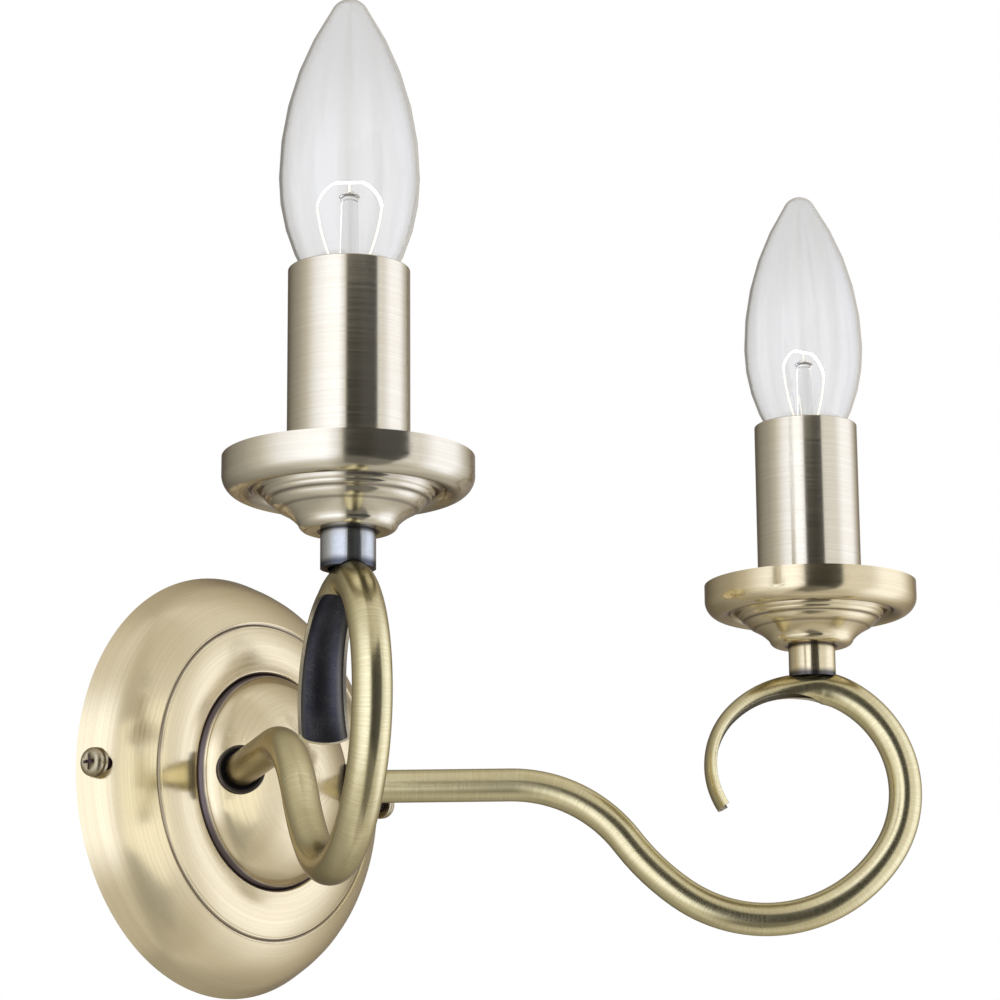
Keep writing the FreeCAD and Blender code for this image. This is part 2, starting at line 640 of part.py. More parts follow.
def on_arm(part, label, side, along):
    """Put a spun piece on an arm's axis, its foot at a distance from the dome's centre."""
    part.Label = label
    part.Placement = Placement(Vector(), arm_turn(side))
    part.setExpression("Placement.Base.x", (along * sine(arm_angle) * side).text)
    part.setExpression("Placement.Base.y", (dome_behind - along * cosine(arm_angle)).text)
    OUT.append(part)


def hex_nut(body, bore):
    primitive(body, "AdditivePrism", "hexagon", Polygon=6, Height=nut_height,
              Circumradius=nut_flats / 2 / math.cos(math.pi / 6))
    primitive(body, "SubtractiveCylinder", "thread", Radius=bore, Height=nut_height)


def toothed_washer(body, bore):
    """Lock washer with teeth on its inner edge, alternating with gaps."""
    gap = 1.3           # radial depth of the gaps between the teeth
    width = 1.4
    spun(body, [(bore + gap, 0), (washer_radius, 0), (washer_radius, washer_height),
                (bore + gap, washer_height)])
    tooth = primitive(body, "AdditiveBox", "tooth", at=(bore, -width / 2, 0), Length=gap + 0.6,
                      Width=width, Height=washer_height)
    ring = body.newObject("PartDesign::PolarPattern", f"{body.Name}_teeth")
    ring.Originals = [tooth]
    ring.Axis = (origin_part(body, "Z_Axis"), [""])
    ring.Angle = 360
    bound(ring, Occurrences=washer_teeth)
    body.Tip = ring


def make_arm_fixings(name, side):
    bore = tube_radius + slip_clear
    seat = root(dome_radius * dome_radius - bore * bore)
    outer = tube_radius + collar_radius
    collar = new_body(f"arm_collar_{name}")
    spun(collar, [(bore, 0), (outer - 0.3, 0), (outer, 0.5),
                  (outer, collar_height - 0.4), (outer - 0.4, collar_height, 0.4),
                  (outer - collar_lip, collar_height),
                  (outer - collar_lip - 0.4, collar_height - collar_recess),
                  (bore, collar_height - collar_recess)])
    on_arm(collar, f"arm_collar_{name}", side, seat)
    inner = dome_radius - canopy_wall
    washer_seat = root(inner * inner - washer_radius * washer_radius) - washer_height - slip_clear
    washer = new_body(f"arm_washer_{name}")
    toothed_washer(washer, bore)
    on_arm(washer, f"arm_washer_{name}", side, washer_seat)
    nut = new_body(f"arm_nut_{name}")
    hex_nut(nut, bore)
    on_arm(nut, f"arm_nut_{name}", side, washer_seat - nut_height)


# ---------------------------------------------------------------- lamps

def make_ferrule(name, side, arm):
    """Brazed sleeve whose foot is cut to fit the top of the scroll."""
    inner = nipple_radius + slip_clear
    sleeve = Part.makeCylinder(ferrule_radius.value, ferrule_drop.value).cut(
        Part.makeCylinder(inner.value, ferrule_drop.value))
    sleeve.translate(arm_point(side, lamp_at.value, ferrule_z.value - ferrule_drop.value))
    sleeve = sleeve.cut(arm.Shape)
    solids = sorted(sleeve.Solids, key=lambda solid: solid.Volume)
    return feature_part(f"ferrule_{name}", solids[-1])


PAN_STEPS = [       # rings of the pan: share of the way from sleeve to recess, height, arc
    (0.73, 8.7, -1.9),
    (0.60, 7.6, -1.6),
    (0.51, 7.3, None),
    (0.24, 5.3, -4.0),
]


def pan_outline():
    """Underside of the drip pan from its rim to the centre hole: (radius, height, arc)."""
    recess = (pan_radius + sleeve_radius) / 2 - cup_offset
    width = recess - sleeve_radius
    outline = [
        (pan_radius, pan_height),
        (pan_radius, pan_height - pan_band),
        (pan_radius - 4.4, 8.9, -5.0),
        (recess + 1.2, 9.8, -6.0),
        (recess - 1.2, 9.8, 1.3),
    ]
    for share, height, arc in PAN_STEPS:
        corner = (sleeve_radius + width * share, height)
        outline.append((*corner, arc) if arc else corner)
    return outline + [
        (sleeve_radius - 2.8, 1.9, 14.0),
        (sleeve_radius - 5.5, 0, -2.4),
        (nipple_radius + slip_clear, 0),
    ]


def make_pan(name, side):
    body = new_body(f"drip_pan_{name}")
    under = pan_outline()
    spun(body, under + inner_outline(under, pan_wall))
    return finish(body, f"drip_pan_{name}", (*lamp_place(side)[:2], ferrule_z))


def inner_outline(outline, wall):
    """The same outline moved to its right by the wall and walked backwards."""
    points = [Vector(Size.of(c[0]).value, Size.of(c[1]).value, 0) for c in outline]
    normals = []
    for i, point in enumerate(points):
        directions = []
        if i > 0:
            directions.append(edge_direction(points[i - 1], point, outline[i], at_end=True))
        if i < len(points) - 1:
            directions.append(edge_direction(point, points[i + 1], outline[i + 1], at_end=False))
        mean = sum(directions, Vector())
        mean.normalize()
        lean = mean.dot(directions[0])
        normals.append(Vector(mean.y, -mean.x, 0) * (1 / max(lean, 0.6)))
    moved = [(Size.of(c[0]) + wall * n.x, Size.of(c[1]) + wall * n.y)
             for c, n in zip(outline, normals)]
    back = [moved[-1]]
    for i in range(len(outline) - 1, 0, -1):
        target = moved[i - 1]
        if len(outline[i]) == 3:
            radius = Size.of(outline[i][2])
            target = (*target, -(radius + wall))
        back.append(target)
    return back


def edge_direction(start, end, corner, at_end):
    """Direction of travel at one end of a straight or round edge."""
    if len(corner) == 2:
        return (end - start).normalize()
    radius = Size.of(corner[2]).value
    centre = centre_of_arc(start, end, radius)
    spoke = (end if at_end else start) - centre
    turn = 1 if radius > 0 else -1
    return Vector(-spoke.y * turn, spoke.x * turn, 0).normalize()


def make_lamp_mount(name, side):
    """Threaded nipple through ferrule and pan, and the nut that clamps the pan."""
    at = lamp_place(side)
    nipple = new_body(f"nipple_{name}")
    inner = nipple_radius - nipple_wall
    spun(nipple, [(inner, -nipple_below), (nipple_radius, -nipple_below),
                  (nipple_radius, nipple_above), (inner, nipple_above)])
    finish(nipple, f"nipple_{name}", (at[0], at[1], ferrule_z))
    washer = new_body(f"pan_washer_{name}")
    toothed_washer(washer, nipple_radius + slip_clear)
    finish(washer, f"pan_washer_{name}", (at[0], at[1], ferrule_z + pan_wall))
    nut = new_body(f"pan_nut_{name}")
    hex_nut(nut, nipple_radius + slip_clear)
    finish(nut, f"pan_nut_{name}", (at[0], at[1], ferrule_z + pan_wall + washer_height))


def make_sleeve(name, side):
    body = new_body(f"candle_sleeve_{name}")
    inner = sleeve_radius - sleeve_wall
    foot = ferrule_z + sleeve_seat
    spun(body, [(inner, 0), (sleeve_radius, 0), (sleeve_radius, sleeve_z - foot - 0.3),
                (sleeve_radius - 0.3, sleeve_z - foot, 0.3), (inner, sleeve_z - foot)])
    return finish(body, f"candle_sleeve_{name}", (*lamp_place(side)[:2], foot))


def make_holder(name, side):
    """Lampholder: moulded body, metal shell, centre contact and the two wire terminals."""
    at = lamp_place(side)
    base_z = ferrule_z + pan_wall + washer_height + nut_height + 0.6
    top = cap_top_z - base_z
    bore = cap_radius + shell_clear + shell_wall + slip_clear
    floor = contact_z - base_z - 1.0
    chamber = holder_radius - holder_wall
    thread = nipple_radius + slip_clear
    body = new_body(f"lampholder_{name}")
    spun(body, [(thread, 0), (8.6, 0), (holder_radius, 4), (holder_radius, top),
                (bore, top), (bore, floor), (1.25, floor), (1.25, floor - 3),
                (chamber, floor - 3), (chamber, 12.5), (thread, 12.5)])
    finish(body, f"lampholder_{name}", (at[0], at[1], base_z))

    shell = new_body(f"lampholder_shell_{name}")
    inner = cap_radius + shell_clear
    outer = inner + shell_wall
    spun(shell, [(inner - 1.2, 0), (outer, 0), (outer, top - floor - 0.5),
                 (inner, top - floor - 0.5), (inner, 0.6), (inner - 1.2, 0.6)])
    finish(shell, f"lampholder_shell_{name}", (at[0], at[1], base_z + floor))

    contact = new_body(f"lampholder_contact_{name}")
    spun(contact, [(0, -5), (1.2, -5), (1.2, 0), (3, 0), (3, 0.7), (0, 0.7)])
    finish(contact, f"lampholder_contact_{name}", (at[0], at[1], base_z + floor))

    blocks = []
    for turn in (-1, 1):
        middle = terminal_offset.value * turn
        block = Part.makeBox(4, 4, 6.5, Vector(-2, middle - 2, 0))
        block = block.cut(Part.makeCylinder(0.6, 4, Vector(0, middle, 0)))
        screw = Part.makeCylinder(1.2, 2, Vector(2, middle, 4.6), Vector(1, 0, 0))
        blocks.append(block.fuse(screw).removeSplitter())
    terminals = Part.makeCompound(blocks)
    part = feature_part(f"lampholder_terminals_{name}", terminals)
    spot = arm_point(side, lamp_at.value, terminal_z.value)
    across = Vector(0, 0, 1).cross(arm_vector(side))
    part.Placement = Placement(spot, Rotation(Vector(0, 1, 0), across))


def bulb_outline():
    """Outside of the glass from its tip down to its neck, as (radius, height, arc radius)."""
    upper = bulb_above - bulb_belly - tip_round
    inset = bulb_radius - tip_radius
    ogive = upper * upper / (2 * inset) + inset / 2
    belly = bulb_belly * bulb_belly / (2 * mouth_inset) + mouth_inset / 2
    tip = tip_radius * tip_radius / (2 * tip_round) + tip_round / 2
    neck = cap_radius - neck_inset
    foot_z = cap_top_z + neck_flare
    drop = sleeve_z + bulb_belly - foot_z
    foot = bulb_radius - belly + root(belly * belly - drop * drop)
    return [
        (0, tip_z),
        (tip_flat, tip_z),
        (tip_radius, tip_z - tip_round, -tip),
        (bulb_radius, sleeve_z + bulb_belly, -ogive),
        (foot, foot_z, -belly),
        (neck, cap_top_z),
        (neck, cap_top_z - neck_length),
    ]


def make_bulb_glass(name, at):
    glass = new_body(f"bulb_glass_{name}")
    outside = bulb_outline()
    spun(glass, outside + inner_outline(outside, glass_wall))
    finish(glass, f"bulb_glass_{name}", at)


def make_bulb_cap(name, at):
    """Metal cap with its rolled thread, the dark insulator under it and the end contact."""
    cap = new_body(f"bulb_cap_{name}")
    thread_root = cap_radius - thread_depth
    bore = cap_radius - neck_inset + slip_clear
    foot = cap_radius - 1.8
    ridge = cap_pitch * cap_pitch / (8 * thread_depth) + thread_depth / 2
    start = cap_foot_z + 1.4
    outline = [(foot, cap_foot_z), (thread_root, start)]
    for turn in range(THREAD_TURNS):
        outline.append((thread_root, start + cap_pitch * (turn + 1), ridge))
    outline += [(cap_radius, cap_top_z - 1.0), (cap_radius, cap_top_z), (bore, cap_top_z),
                (bore, start), (foot - 0.5, cap_foot_z + 0.8), (foot - 0.5, cap_foot_z)]
    spun(cap, outline)
    finish(cap, f"bulb_cap_{name}", at)
    insulator = new_body(f"bulb_insulator_{name}")
    rim = foot - 0.5 - slip_clear
    spun(insulator, [(0, contact_z + 0.5), (3.0, contact_z + 0.5), (rim, cap_foot_z),
                     (rim, cap_foot_z + 0.8), (0, cap_foot_z + 0.8)])
    finish(insulator, f"bulb_insulator_{name}", at)
    contact = new_body(f"bulb_contact_{name}")
    spun(contact, [(0, contact_z), (1.6, contact_z), (2.6, contact_z + 0.5, 1.0), (0, contact_z + 0.5)])
    finish(contact, f"bulb_contact_{name}", at)


def make_bulb_inside(name, at, hoop_turn):
    """Glass stem with its button, the two bowed lead wires and the filament they carry."""
    stem = new_body(f"bulb_stem_{name}")
    flare = cap_radius - neck_inset - glass_wall - slip_clear
    low = cap_top_z - 4
    button = sleeve_z + hoop_rise - 3.8
    spun(stem, [(0, low), (flare, low), (2.4, sleeve_z - 1.5, -12.0), (2.1, button - 1.6),
                (2.6, button, -2.0), (tip_flat, button + 1.4, 2.8), (0, button + 1.4)])
    finish(stem, f"bulb_stem_{name}", at)
    base = sleeve_z.value
    half = hoop_half.value
    rise = hoop_rise.value
    corner = rise - 6.2             # where the lead wires end and the filament starts
    leads = []
    for turn in (-1, 1):
        points = [Vector(x * turn, 0, base + z)
                  for x, z in ((2.8, -0.8), (half * 0.8, corner * 0.5), (half, corner))]
        leads.append(pipe([Part.Arc(*points).toShape()], lead_radius.value))
    crown = button.value + 1.4
    leads.append(Part.makeCylinder(lead_radius.value * 0.7, base + rise - 0.4 - crown,
                                   Vector(0, 0, crown)))
    top = half * 0.42
    points = [Vector(x, 0, base + z) for x, z in
              ((half, corner + 0.1), (half * 0.78, corner + 3.9), (top, rise))]
    mirrored = [Vector(-p.x, 0, p.z) for p in reversed(points)]
    filament = pipe([Part.Arc(*points).toShape(),
                     Part.LineSegment(points[2], mirrored[0]).toShape(),
                     Part.Arc(*mirrored).toShape()], filament_radius.value)
    spin = Rotation(Vector(0, 0, 1), hoop_turn)
    spot = Vector(Size.of(at[0]).value, Size.of(at[1]).value, 0)
    for label, shape in ((f"bulb_leads_{name}", Part.makeCompound(leads)),
                         (f"bulb_filament_{name}", filament)):
        part = feature_part(label, shape)
        part.Placement = Placement(spot, spin)


# ---------------------------------------------------------------- side screws

def make_side_screw(name, side):
    """Pan head screw with a cross recess, and its washer against the leaning canopy side."""
    seat = canopy_radius - flare_inset * (screw_depth - side_washer) / flare_depth + slip_clear
    turn = ((0, 1, 0), 90 * side)
    bore = screw_radius + screw_clear
    washer = new_body(f"side_washer_{name}")
    spun(washer, [(bore, 0), (side_washer, 0), (side_washer, washer_height),
                  (bore, washer_height)])
    finish(washer, f"side_washer_{name}", (seat * side, -screw_depth, 0), turn)
    screw = new_body(f"side_screw_{name}")
    spun(screw, [(0, -screw_length), (screw_radius - 0.5, -screw_length),
                 (screw_radius, 0.5 - screw_length), (screw_radius, 0), (screw_head, 0),
                 (screw_head, screw_rise * 0.4), (screw_head - 1.4, screw_rise, 1.9),
                 (0, screw_rise)])
    for number, (length, width) in enumerate(((4.4, 0.9), (0.9, 4.4))):
        primitive(screw, "SubtractiveBox", f"recess_{number}",
                  at=(-length / 2, -width / 2, screw_rise - 1.4),
                  Length=length, Width=width, Height=2)
    head = (seat + washer_height) * side
    finish(screw, f"side_screw_{name}", (head, -screw_depth, 0), turn)


# ---------------------------------------------------------------- wires

def rounded_edges(points, radius):
    """Straight runs between points with a tangent arc at each inner corner."""
    edges = []
    start = points[0]
    for before, corner, after in zip(points, points[1:], points[2:]):
        incoming = (corner - before).normalize()
        outgoing = (after - corner).normalize()
        half = incoming.getAngle(outgoing) / 2
        reach = radius * math.tan(half)
        inward = (outgoing - incoming).normalize()
        first = corner - incoming * reach
        last = corner + outgoing * reach
        middle = corner + inward * (radius / math.cos(half) - radius)
        edges.append(Part.LineSegment(start, first).toShape())
        edges.append(Part.Arc(first, middle, last).toShape())
        start = last
    edges.append(Part.LineSegment(start, points[-1]).toShape())
    return edges


def make_wire(name, side, pole, pole_name):
    """One insulated wire, from the connector through the arm to its lampholder terminal."""
    across = wire_apart.value / 2 * pole
    y = -insert_depth.value
    z = (pole_pitch.value - side) * pole
    start = Vector(block_start.value + 1.2, y, z)
    corner = Vector(9.0 if side > 0 else -5.0, y, z)
    end = arm_start()
    inside = arm_point(side, end - 11, 0, across)
    bend = wire_bend.value
    edges = rounded_edges([start, corner, inside, arm_point(side, end, 0, across)], bend)

    leaves = wire_leaves.value
    edges += arm_edges(side, across, leaves)
    along, height = turned_point(top_at.value, (top_z - crown_radius).value,
                                 crown_radius.value, leaves)
    sine_leaves = math.sin(math.radians(leaves))
    rise = (along - lamp_at.value) / (1 - sine_leaves)
    centre = (along + rise * sine_leaves, height - rise * math.cos(math.radians(leaves)))
    turned = [arm_point(side, *turned_point(*centre, -rise, heading), across)
              for heading in (leaves, leaves / 2 + 45, 90.0)]
    edges.append(Part.Arc(*turned).toShape())

    nipple_end = (ferrule_z + nipple_above).value
    spread = terminal_offset.value * pole
    climb = [turned[-1]]
    for height, offset in ((nipple_end + 1.8, across), (nipple_end + 6.0, spread),
                           (terminal_z.value, spread)):
        climb.append(arm_point(side, lamp_at.value, height, offset))
    edges += rounded_edges(climb, bend)
    feature_part(f"wire_{pole_name}_{name}", pipe(edges, wire_radius.value))


def make_earth_wire():
    """Earth wire from its tag to the connector's middle pole."""
    y = -(bracket_gauge + 2.0).value
    bore_y = -insert_depth.value
    begin = block_start.value
    points = [Vector(TAG_LENGTH - earth_offset.value, y, 0), Vector(begin - 6.5, y, 0),
              Vector(begin - 2.4, bore_y, 0), Vector(begin + 1.2, bore_y, 0)]
    feature_part("wire_earth", pipe(rounded_edges(points, 1.4), wire_radius.value))


# ---------------------------------------------------------------- the whole fitting

def build():
    make_bracket()
    make_earth()
    make_connector()
    make_canopy()
    for name, side in SIDES.items():
        place = lamp_place(side)
        make_side_screw(name, side)
        arm = make_arm(name, side)
        make_arm_fixings(name, side)
        make_ferrule(name, side, arm)
        make_pan(name, side)
        make_lamp_mount(name, side)
        make_holder(name, side)
        make_sleeve(name, side)
        make_bulb_glass(name, place)
        make_bulb_cap(name, place)
        make_bulb_inside(name, place, HOOP_TURNS[name])
        make_wire(name, side, 1, "live")
        make_wire(name, side, -1, "neutral")
    make_earth_wire()


def check_and_export():
    doc.recompute()
    faults = [f"{item.Label}: {item.State}" for item in doc.Objects
              if "Invalid" in item.State or "Error" in item.State]
    for part in OUT:
        if part.Shape.isNull() or not part.Shape.isValid() or part.Shape.Volume <= 0:
            faults.append(f"{part.Label}: no valid shape")
    if faults:
        raise RuntimeError("; ".join(faults))
    for part in OUT:
        part.Shape.exportStep(f"parts/{part.Label}.step")
        box = part.Shape.BoundBox
        print(f"{part.Label}: {len(part.Shape.Solids)} solid(s), {part.Shape.Volume:.0f} mm3, "
              f"z {box.ZMin:.1f} to {box.ZMax:.1f}")
    print(f"{len(OUT)} parts; lamp axes at x +-{lamp_x.value:.1f}, y {lamp_y.value:.1f}")


build()
check_and_export()
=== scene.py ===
"""Looks of a wall light with two scrolled arms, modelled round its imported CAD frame."""

import math

import bmesh
import bpy
from bpy.props import FloatProperty, FloatVectorProperty, PointerProperty
from mathutils import Matrix, Vector


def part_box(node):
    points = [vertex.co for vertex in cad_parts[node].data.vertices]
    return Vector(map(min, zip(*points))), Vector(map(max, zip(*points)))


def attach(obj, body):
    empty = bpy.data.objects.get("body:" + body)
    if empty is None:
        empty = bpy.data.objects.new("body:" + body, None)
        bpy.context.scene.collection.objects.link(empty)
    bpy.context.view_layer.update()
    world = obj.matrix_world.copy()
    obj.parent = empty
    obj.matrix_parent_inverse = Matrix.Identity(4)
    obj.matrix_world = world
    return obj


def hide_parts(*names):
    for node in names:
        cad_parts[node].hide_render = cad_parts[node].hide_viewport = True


bl_info = {
    "name": "Double Arm Wall Light",
    "version": (1, 0, 0),
    "blender": (4, 5, 0),
    "location": "3D View > Sidebar > Wall Light",
    "description": "Models and finishes the visible pieces of a double arm wall light",
    "category": "Object",
}

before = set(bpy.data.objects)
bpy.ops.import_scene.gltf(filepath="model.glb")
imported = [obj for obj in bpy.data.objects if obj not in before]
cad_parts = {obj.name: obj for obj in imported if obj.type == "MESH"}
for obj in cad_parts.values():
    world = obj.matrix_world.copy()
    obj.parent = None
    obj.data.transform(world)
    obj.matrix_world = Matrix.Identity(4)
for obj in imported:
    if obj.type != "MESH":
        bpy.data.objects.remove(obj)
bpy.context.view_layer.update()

MM = 0.001
SIDES = {"left": -1, "right": 1}
ARM_ANGLE = math.radians(36.3)      # each arm leaves the dome this far to its own side
DOME_BEHIND = 5 * MM                # the dome's centre lies this far behind the wall plane
DOME_SHEET = 0.035                  # the dome's sheet lies this far along each arm, in m
BORE_CLEAR = 0.00005                # clearance of the tube in the dome, in m
SCREW_BORE = 0.0021                 # radius of the side screws' holes, in m
ARM_ROOT = 26.5                     # arm: where the tube starts inside the dome
ARM_TURNS = [                       # arm: straight run before each turn, radius, degrees
    (59.1, -41.6, -52.75),
    (0.9, 69.0, 17.2),
    (0.0, 42.0, 92.0),
    (0.0, 31.8, 95.55),
]
TAIL_START = 152.0                  # scroll tail: heading where its back leaves the tube's line
TAIL_WIDENS = 163.0                 # heading where it starts to widen
TAIL_OPENS = 165.0                  # heading where it starts to open
TAIL_FINE = 190.0                   # heading up to which its stations lie close together
TAIL_TURN = 225.0                   # heading where its first turn gives way to its last
TAIL_END = 302.0                    # heading at its tip
TAIL_EASE = 34.0                    # degrees it takes to leave the tube's line, and to open
TAIL_REACH = 30.0                   # mean radius of its turns, for the grain along it
TIP_HALF, TIP_DEPTH = 6.5, 3.5      # half width and depth of its flattened tip
CROWN = ((167.0, -3.0), 31.8)       # centre and radius of the tube's crown and the back's turns
TAIL_FIRST = ((170.9, -0.45), 31.7)
TAIL_LAST = ((165.81, 4.64), 24.5)
SEAM = 1e-9                         # tells the two edges of the tube's seam apart
COLLAR_SEAT = 38.2                  # arm collar: its foot from the dome's centre
ARC_STEP = 8                        # degrees of an outline's arc to one edge
TURN_STEP = 3                       # degrees of an arm's turn to one ring

# Outlines are straight runs and arcs: (radius, height) or (radius, height, arc radius), in mm.
# An arc with a positive radius turns left on its way to that point.
CANOPY_FACE = [                     # inside the rim and the rounded side
    (45.9, 16.35, 44.0), (45.45, 16.15, -0.6), (44.9, 15.72), (44.45, 16.3), (43.9, 16.6, -0.8),
    (31.6, 17.72), (31.1, 17.45, 0.8), (30.6, 16.6), (30.1, 18.6), (29.5, 19.75, -1.2),
    (0.0, 33.5, 38.5),
]
PAN_OUTLINE = [
    (30.7, 18.3), (30.7, 13.4), (26.3, 8.9, -5.0), (23.7, 9.8, -6.0), (21.3, 9.8, 1.3),
    (20.48, 8.7, -1.9), (19.5, 7.6, -1.6), (18.83, 7.3), (16.8, 5.3, -4.0), (12.2, 1.9, 14.0),
    (9.5, 0.0, -2.4), (5.1, 0.0),
]
COLLAR_OUTLINE = [
    (4.78, 0.0), (6.5, 0.0), (6.8, 0.3, 0.3), (6.8, 2.4), (6.4, 2.8, 0.4), (6.1, 2.8),
    (5.9, 2.55, 0.28), (5.9, 0.9), (4.78, 0.9), (4.78, 0.0),
]
BULB_OUTLINE = [                    # its heights are measured down from the tip
    (0.0, 0.0), (0.4, 0.0), (4.6, 3.0, -5.03), (17.4, 47.0, -82.0), (6.78, 77.6, -49.4),
    (5.7, 79.0),
]
BULB_NECK = 5.7

# Colours of single pieces; the shared ones are settings.
TUBE_TINT = (0.97, 1.01, 0.92)
# Insides of the tails: one patina, painted near black as shade on the left and paler as lit on the
# right.
TAIL_INSIDE = {"left": (0.050, 0.052, 0.068), "right": (0.34, 0.31, 0.21)}
TAIL_RUBBED = (0.34, 0.32, 0.26)
COLLAR_BRASS, COLLAR_PATINA = (0.13, 0.12, 0.11), (0.02, 0.019, 0.027)
FERRULE_STEEL, FERRULE_PATINA = (0.50, 0.53, 0.55), (0.05, 0.055, 0.075)
SCREW_PATINA = (0.06, 0.035, 0.05)
# Colour of the lead wires, also used for their painted glow.
LEAD_COLOUR = (0.86, 0.80, 0.66)
STRIPE_YELLOW = (0.75, 0.62, 0.02)
WORN, COLD = (0.80, 0.74, 0.66), (0.97, 1.0, 1.13)      # tints of uneven brass
GRAZING = (0.42, 0.38, 0.36, 1)     # tint of brass at a grazing angle, as on its thin edges

# Plain finishes: colour, roughness, metal, unevenness, its scale, bump, coat.
PLAIN = {
    "zinc_plate": ((0.58, 0.60, 0.62), 0.34, 1.0, 0.25, 180.0, 0.12, 0.0),
    "nickel_plate": ((0.66, 0.65, 0.62), 0.26, 1.0, 0.15, 500.0, 0.1, 0.0),
    "cut_brass": ((0.72, 0.56, 0.30), 0.28, 1.0, 0.2, 500.0, 0.1, 0.0),
    "black_glass": ((0.012, 0.012, 0.014), 0.18, 0.0, 0.2, 600.0, 0.1, 0.3),
    "white_moulding": ((0.80, 0.79, 0.74), 0.42, 0.0, 0.06, 250.0, 0.05, 0.0),
    "natural_nylon": ((0.66, 0.68, 0.66), 0.38, 0.0, 0.08, 250.0, 0.06, 0.0),
    "brown_insulation": ((0.11, 0.035, 0.015), 0.4, 0.0, 0.1, 700.0, 0.08, 0.0),
    "blue_insulation": ((0.015, 0.075, 0.32), 0.4, 0.0, 0.1, 700.0, 0.08, 0.0),
    "striped_insulation": ((0.05, 0.22, 0.03), 0.4, 0.0, 0.1, 700.0, 0.08, 0.0),
}
# Finishes of the CAD pieces that stay as they are, by how their names start.
FITTINGS = (
    ("lampholder_left", "white_moulding"), ("lampholder_right", "white_moulding"),
    ("lampholder_shell", "nickel_plate"), ("lampholder_", "cut_brass"),
    ("connector_housing", "natural_nylon"), ("connector_inserts", "cut_brass"),
    ("wire_live", "brown_insulation"), ("wire_neutral", "blue_insulation"),
    ("wire_earth", "striped_insulation"), ("", "zinc_plate"),
)

# Camera fitted to the photograph: mm, m, and degrees of compass, tilt and roll.
LENS, SENSOR = 115.98, 36.0
CAMERA_AT = (-0.67675, -0.63220, -0.12526)
CAMERA_TURN = (-51.851, 12.784, -0.414)
LAMPS = (("key", (-0.9, -1.1, 1.3), 16.0, 0.9), ("fill", (1.3, -0.9, 0.8), 7.0, 1.0))
FLOOR_LEVEL = -0.45
TENT_RADIUS, TENT_FOOT = 1.6, -0.44
# Light of the tent by compass direction round the canopy, in degrees from +X.
TENT = ((0, 0.65), (20, 0.70), (40, 0.36), (62, 0.28), (85, 0.36), (118, 0.47), (140, 0.70),
        (163, 1.20), (185, 1.50), (204, 1.58), (213, 1.15), (219, 0.55), (238, 0.55), (246, 0.90),
        (262, 0.95), (284, 0.98), (300, 1.38), (325, 1.42), (342, 0.95), (360, 0.65))
# The flag stands on three posts and the mat lies inside them, towards the wall: the light of
# each, where its far edge lies as a share of the posts' x and y, its rise and its clear share.
POSTS = (-0.585, -0.490), (-0.410, -0.590), (-0.067, -0.543)
POST_FOOT = -0.41
DARK = (("dark_flag", 1.34, (1.0, 1.0), 0.76, 0.09), ("dark_mat", 0.40, (0.30, 0.35), 0.0, 0.35))
DARK_COLOUR = (1.0, 0.99, 0.95)


# ---------------------------------------------------------------- settings

def length(name, description, default, low, high, precision=4):
    return FloatProperty(name=name, description=description, default=default, min=low, max=high,
                         unit="LENGTH", precision=precision)


def swatch(name, description, default):
    return FloatVectorProperty(name=name, description=description, default=default,
                               subtype="COLOR", size=3, min=0, max=1)


class SconceSizes(bpy.types.PropertyGroup):
    """Sizes of the modelled pieces."""
    canopy_radius: length("Canopy Radius", "Radius of the canopy at the wall", 0.0605, 0.04, 0.12)
    canopy_wall: length("Canopy Sheet", "Thickness of the pressed canopy", 0.0012, 0.0005, 0.003)
    tube_radius: length("Tube Radius", "Outer radius of the arm tube", 0.00475, 0.003, 0.008, 5)
    tube_wall: length("Tube Wall", "Wall of the arm tube", 0.0008, 0.0004, 0.002)
    pan_wall: length("Pan Sheet", "Thickness of the spun drip pan", 0.0009, 0.0004, 0.002)
    sleeve_radius: length("Sleeve Radius", "Outer radius of the candle sleeve", 0.015, 0.01, 0.02)
    sleeve_wall: length("Sleeve Wall", "Wall of the candle sleeve", 0.0007, 0.0004, 0.002)
    glass_wall: length("Glass Wall", "Thickness of the bulb's glass", 0.0006, 0.0003, 0.0015)


class SconceFinish(bpy.types.PropertyGroup):
    """Colours of the finishes."""
    brass: swatch("Brass", "Colour of the pale antique brass", (0.75, 0.665, 0.455))
    silvery: swatch("Silvery Brass", "Colour of the brass where it is brushed coldest",
                    (0.73, 0.69, 0.57))
    # The patina colour also paints shade into the pans' hollow undersides.
    patina: swatch("Patina", "Dark antique finish left in grooves and hollows",
                   (0.085, 0.066, 0.085))
    glass: swatch("Glass", "Tint of the clear glass", (0.912, 0.912, 0.912))
    glow: swatch("Glow", "Colour of the burning filament", (1.0, 0.86, 0.62))


# ---------------------------------------------------------------- shapes

def verts_of(geom):
    return [g for g in geom if isinstance(g, bmesh.types.BMVert)]


def edges_of(geom):
    return [g for g in geom if isinstance(g, bmesh.types.BMEdge)]


def arc_centre(start, end, radius):
    """Centre of the arc from start to end, on its left where the radius is positive."""
    chord = end - start
    reach = math.sqrt(max(radius * radius - chord.length_squared / 4, 0.0))
    left = Vector((-chord.y, chord.x)).normalized()
    return (start + end) / 2 + left * math.copysign(reach, radius)


def trace(bm, outline):
    """Draw an outline in the XZ plane."""
    last = bm.verts.new((outline[0][0] * MM, 0, outline[0][1] * MM))
    for before, corner in zip(outline, outline[1:]):
        start, end = Vector(before[:2]), Vector(corner[:2])
        if len(corner) == 2:
            vert = bm.verts.new((end.x * MM, 0, end.y * MM))
            bm.edges.new((last, vert))
            last = vert
            continue
        centre = arc_centre(start, end, corner[2])
        angle = (start - centre).angle(end - centre)
        steps = max(3, math.ceil(math.degrees(angle) / ARC_STEP))
        turned = bmesh.ops.spin(
            bm, geom=[last], cent=(centre.x * MM, 0, centre.y * MM),
            axis=(0, -math.copysign(1, corner[2]), 0), angle=angle, steps=steps)
        last = verts_of(turned["geom_last"])[0]


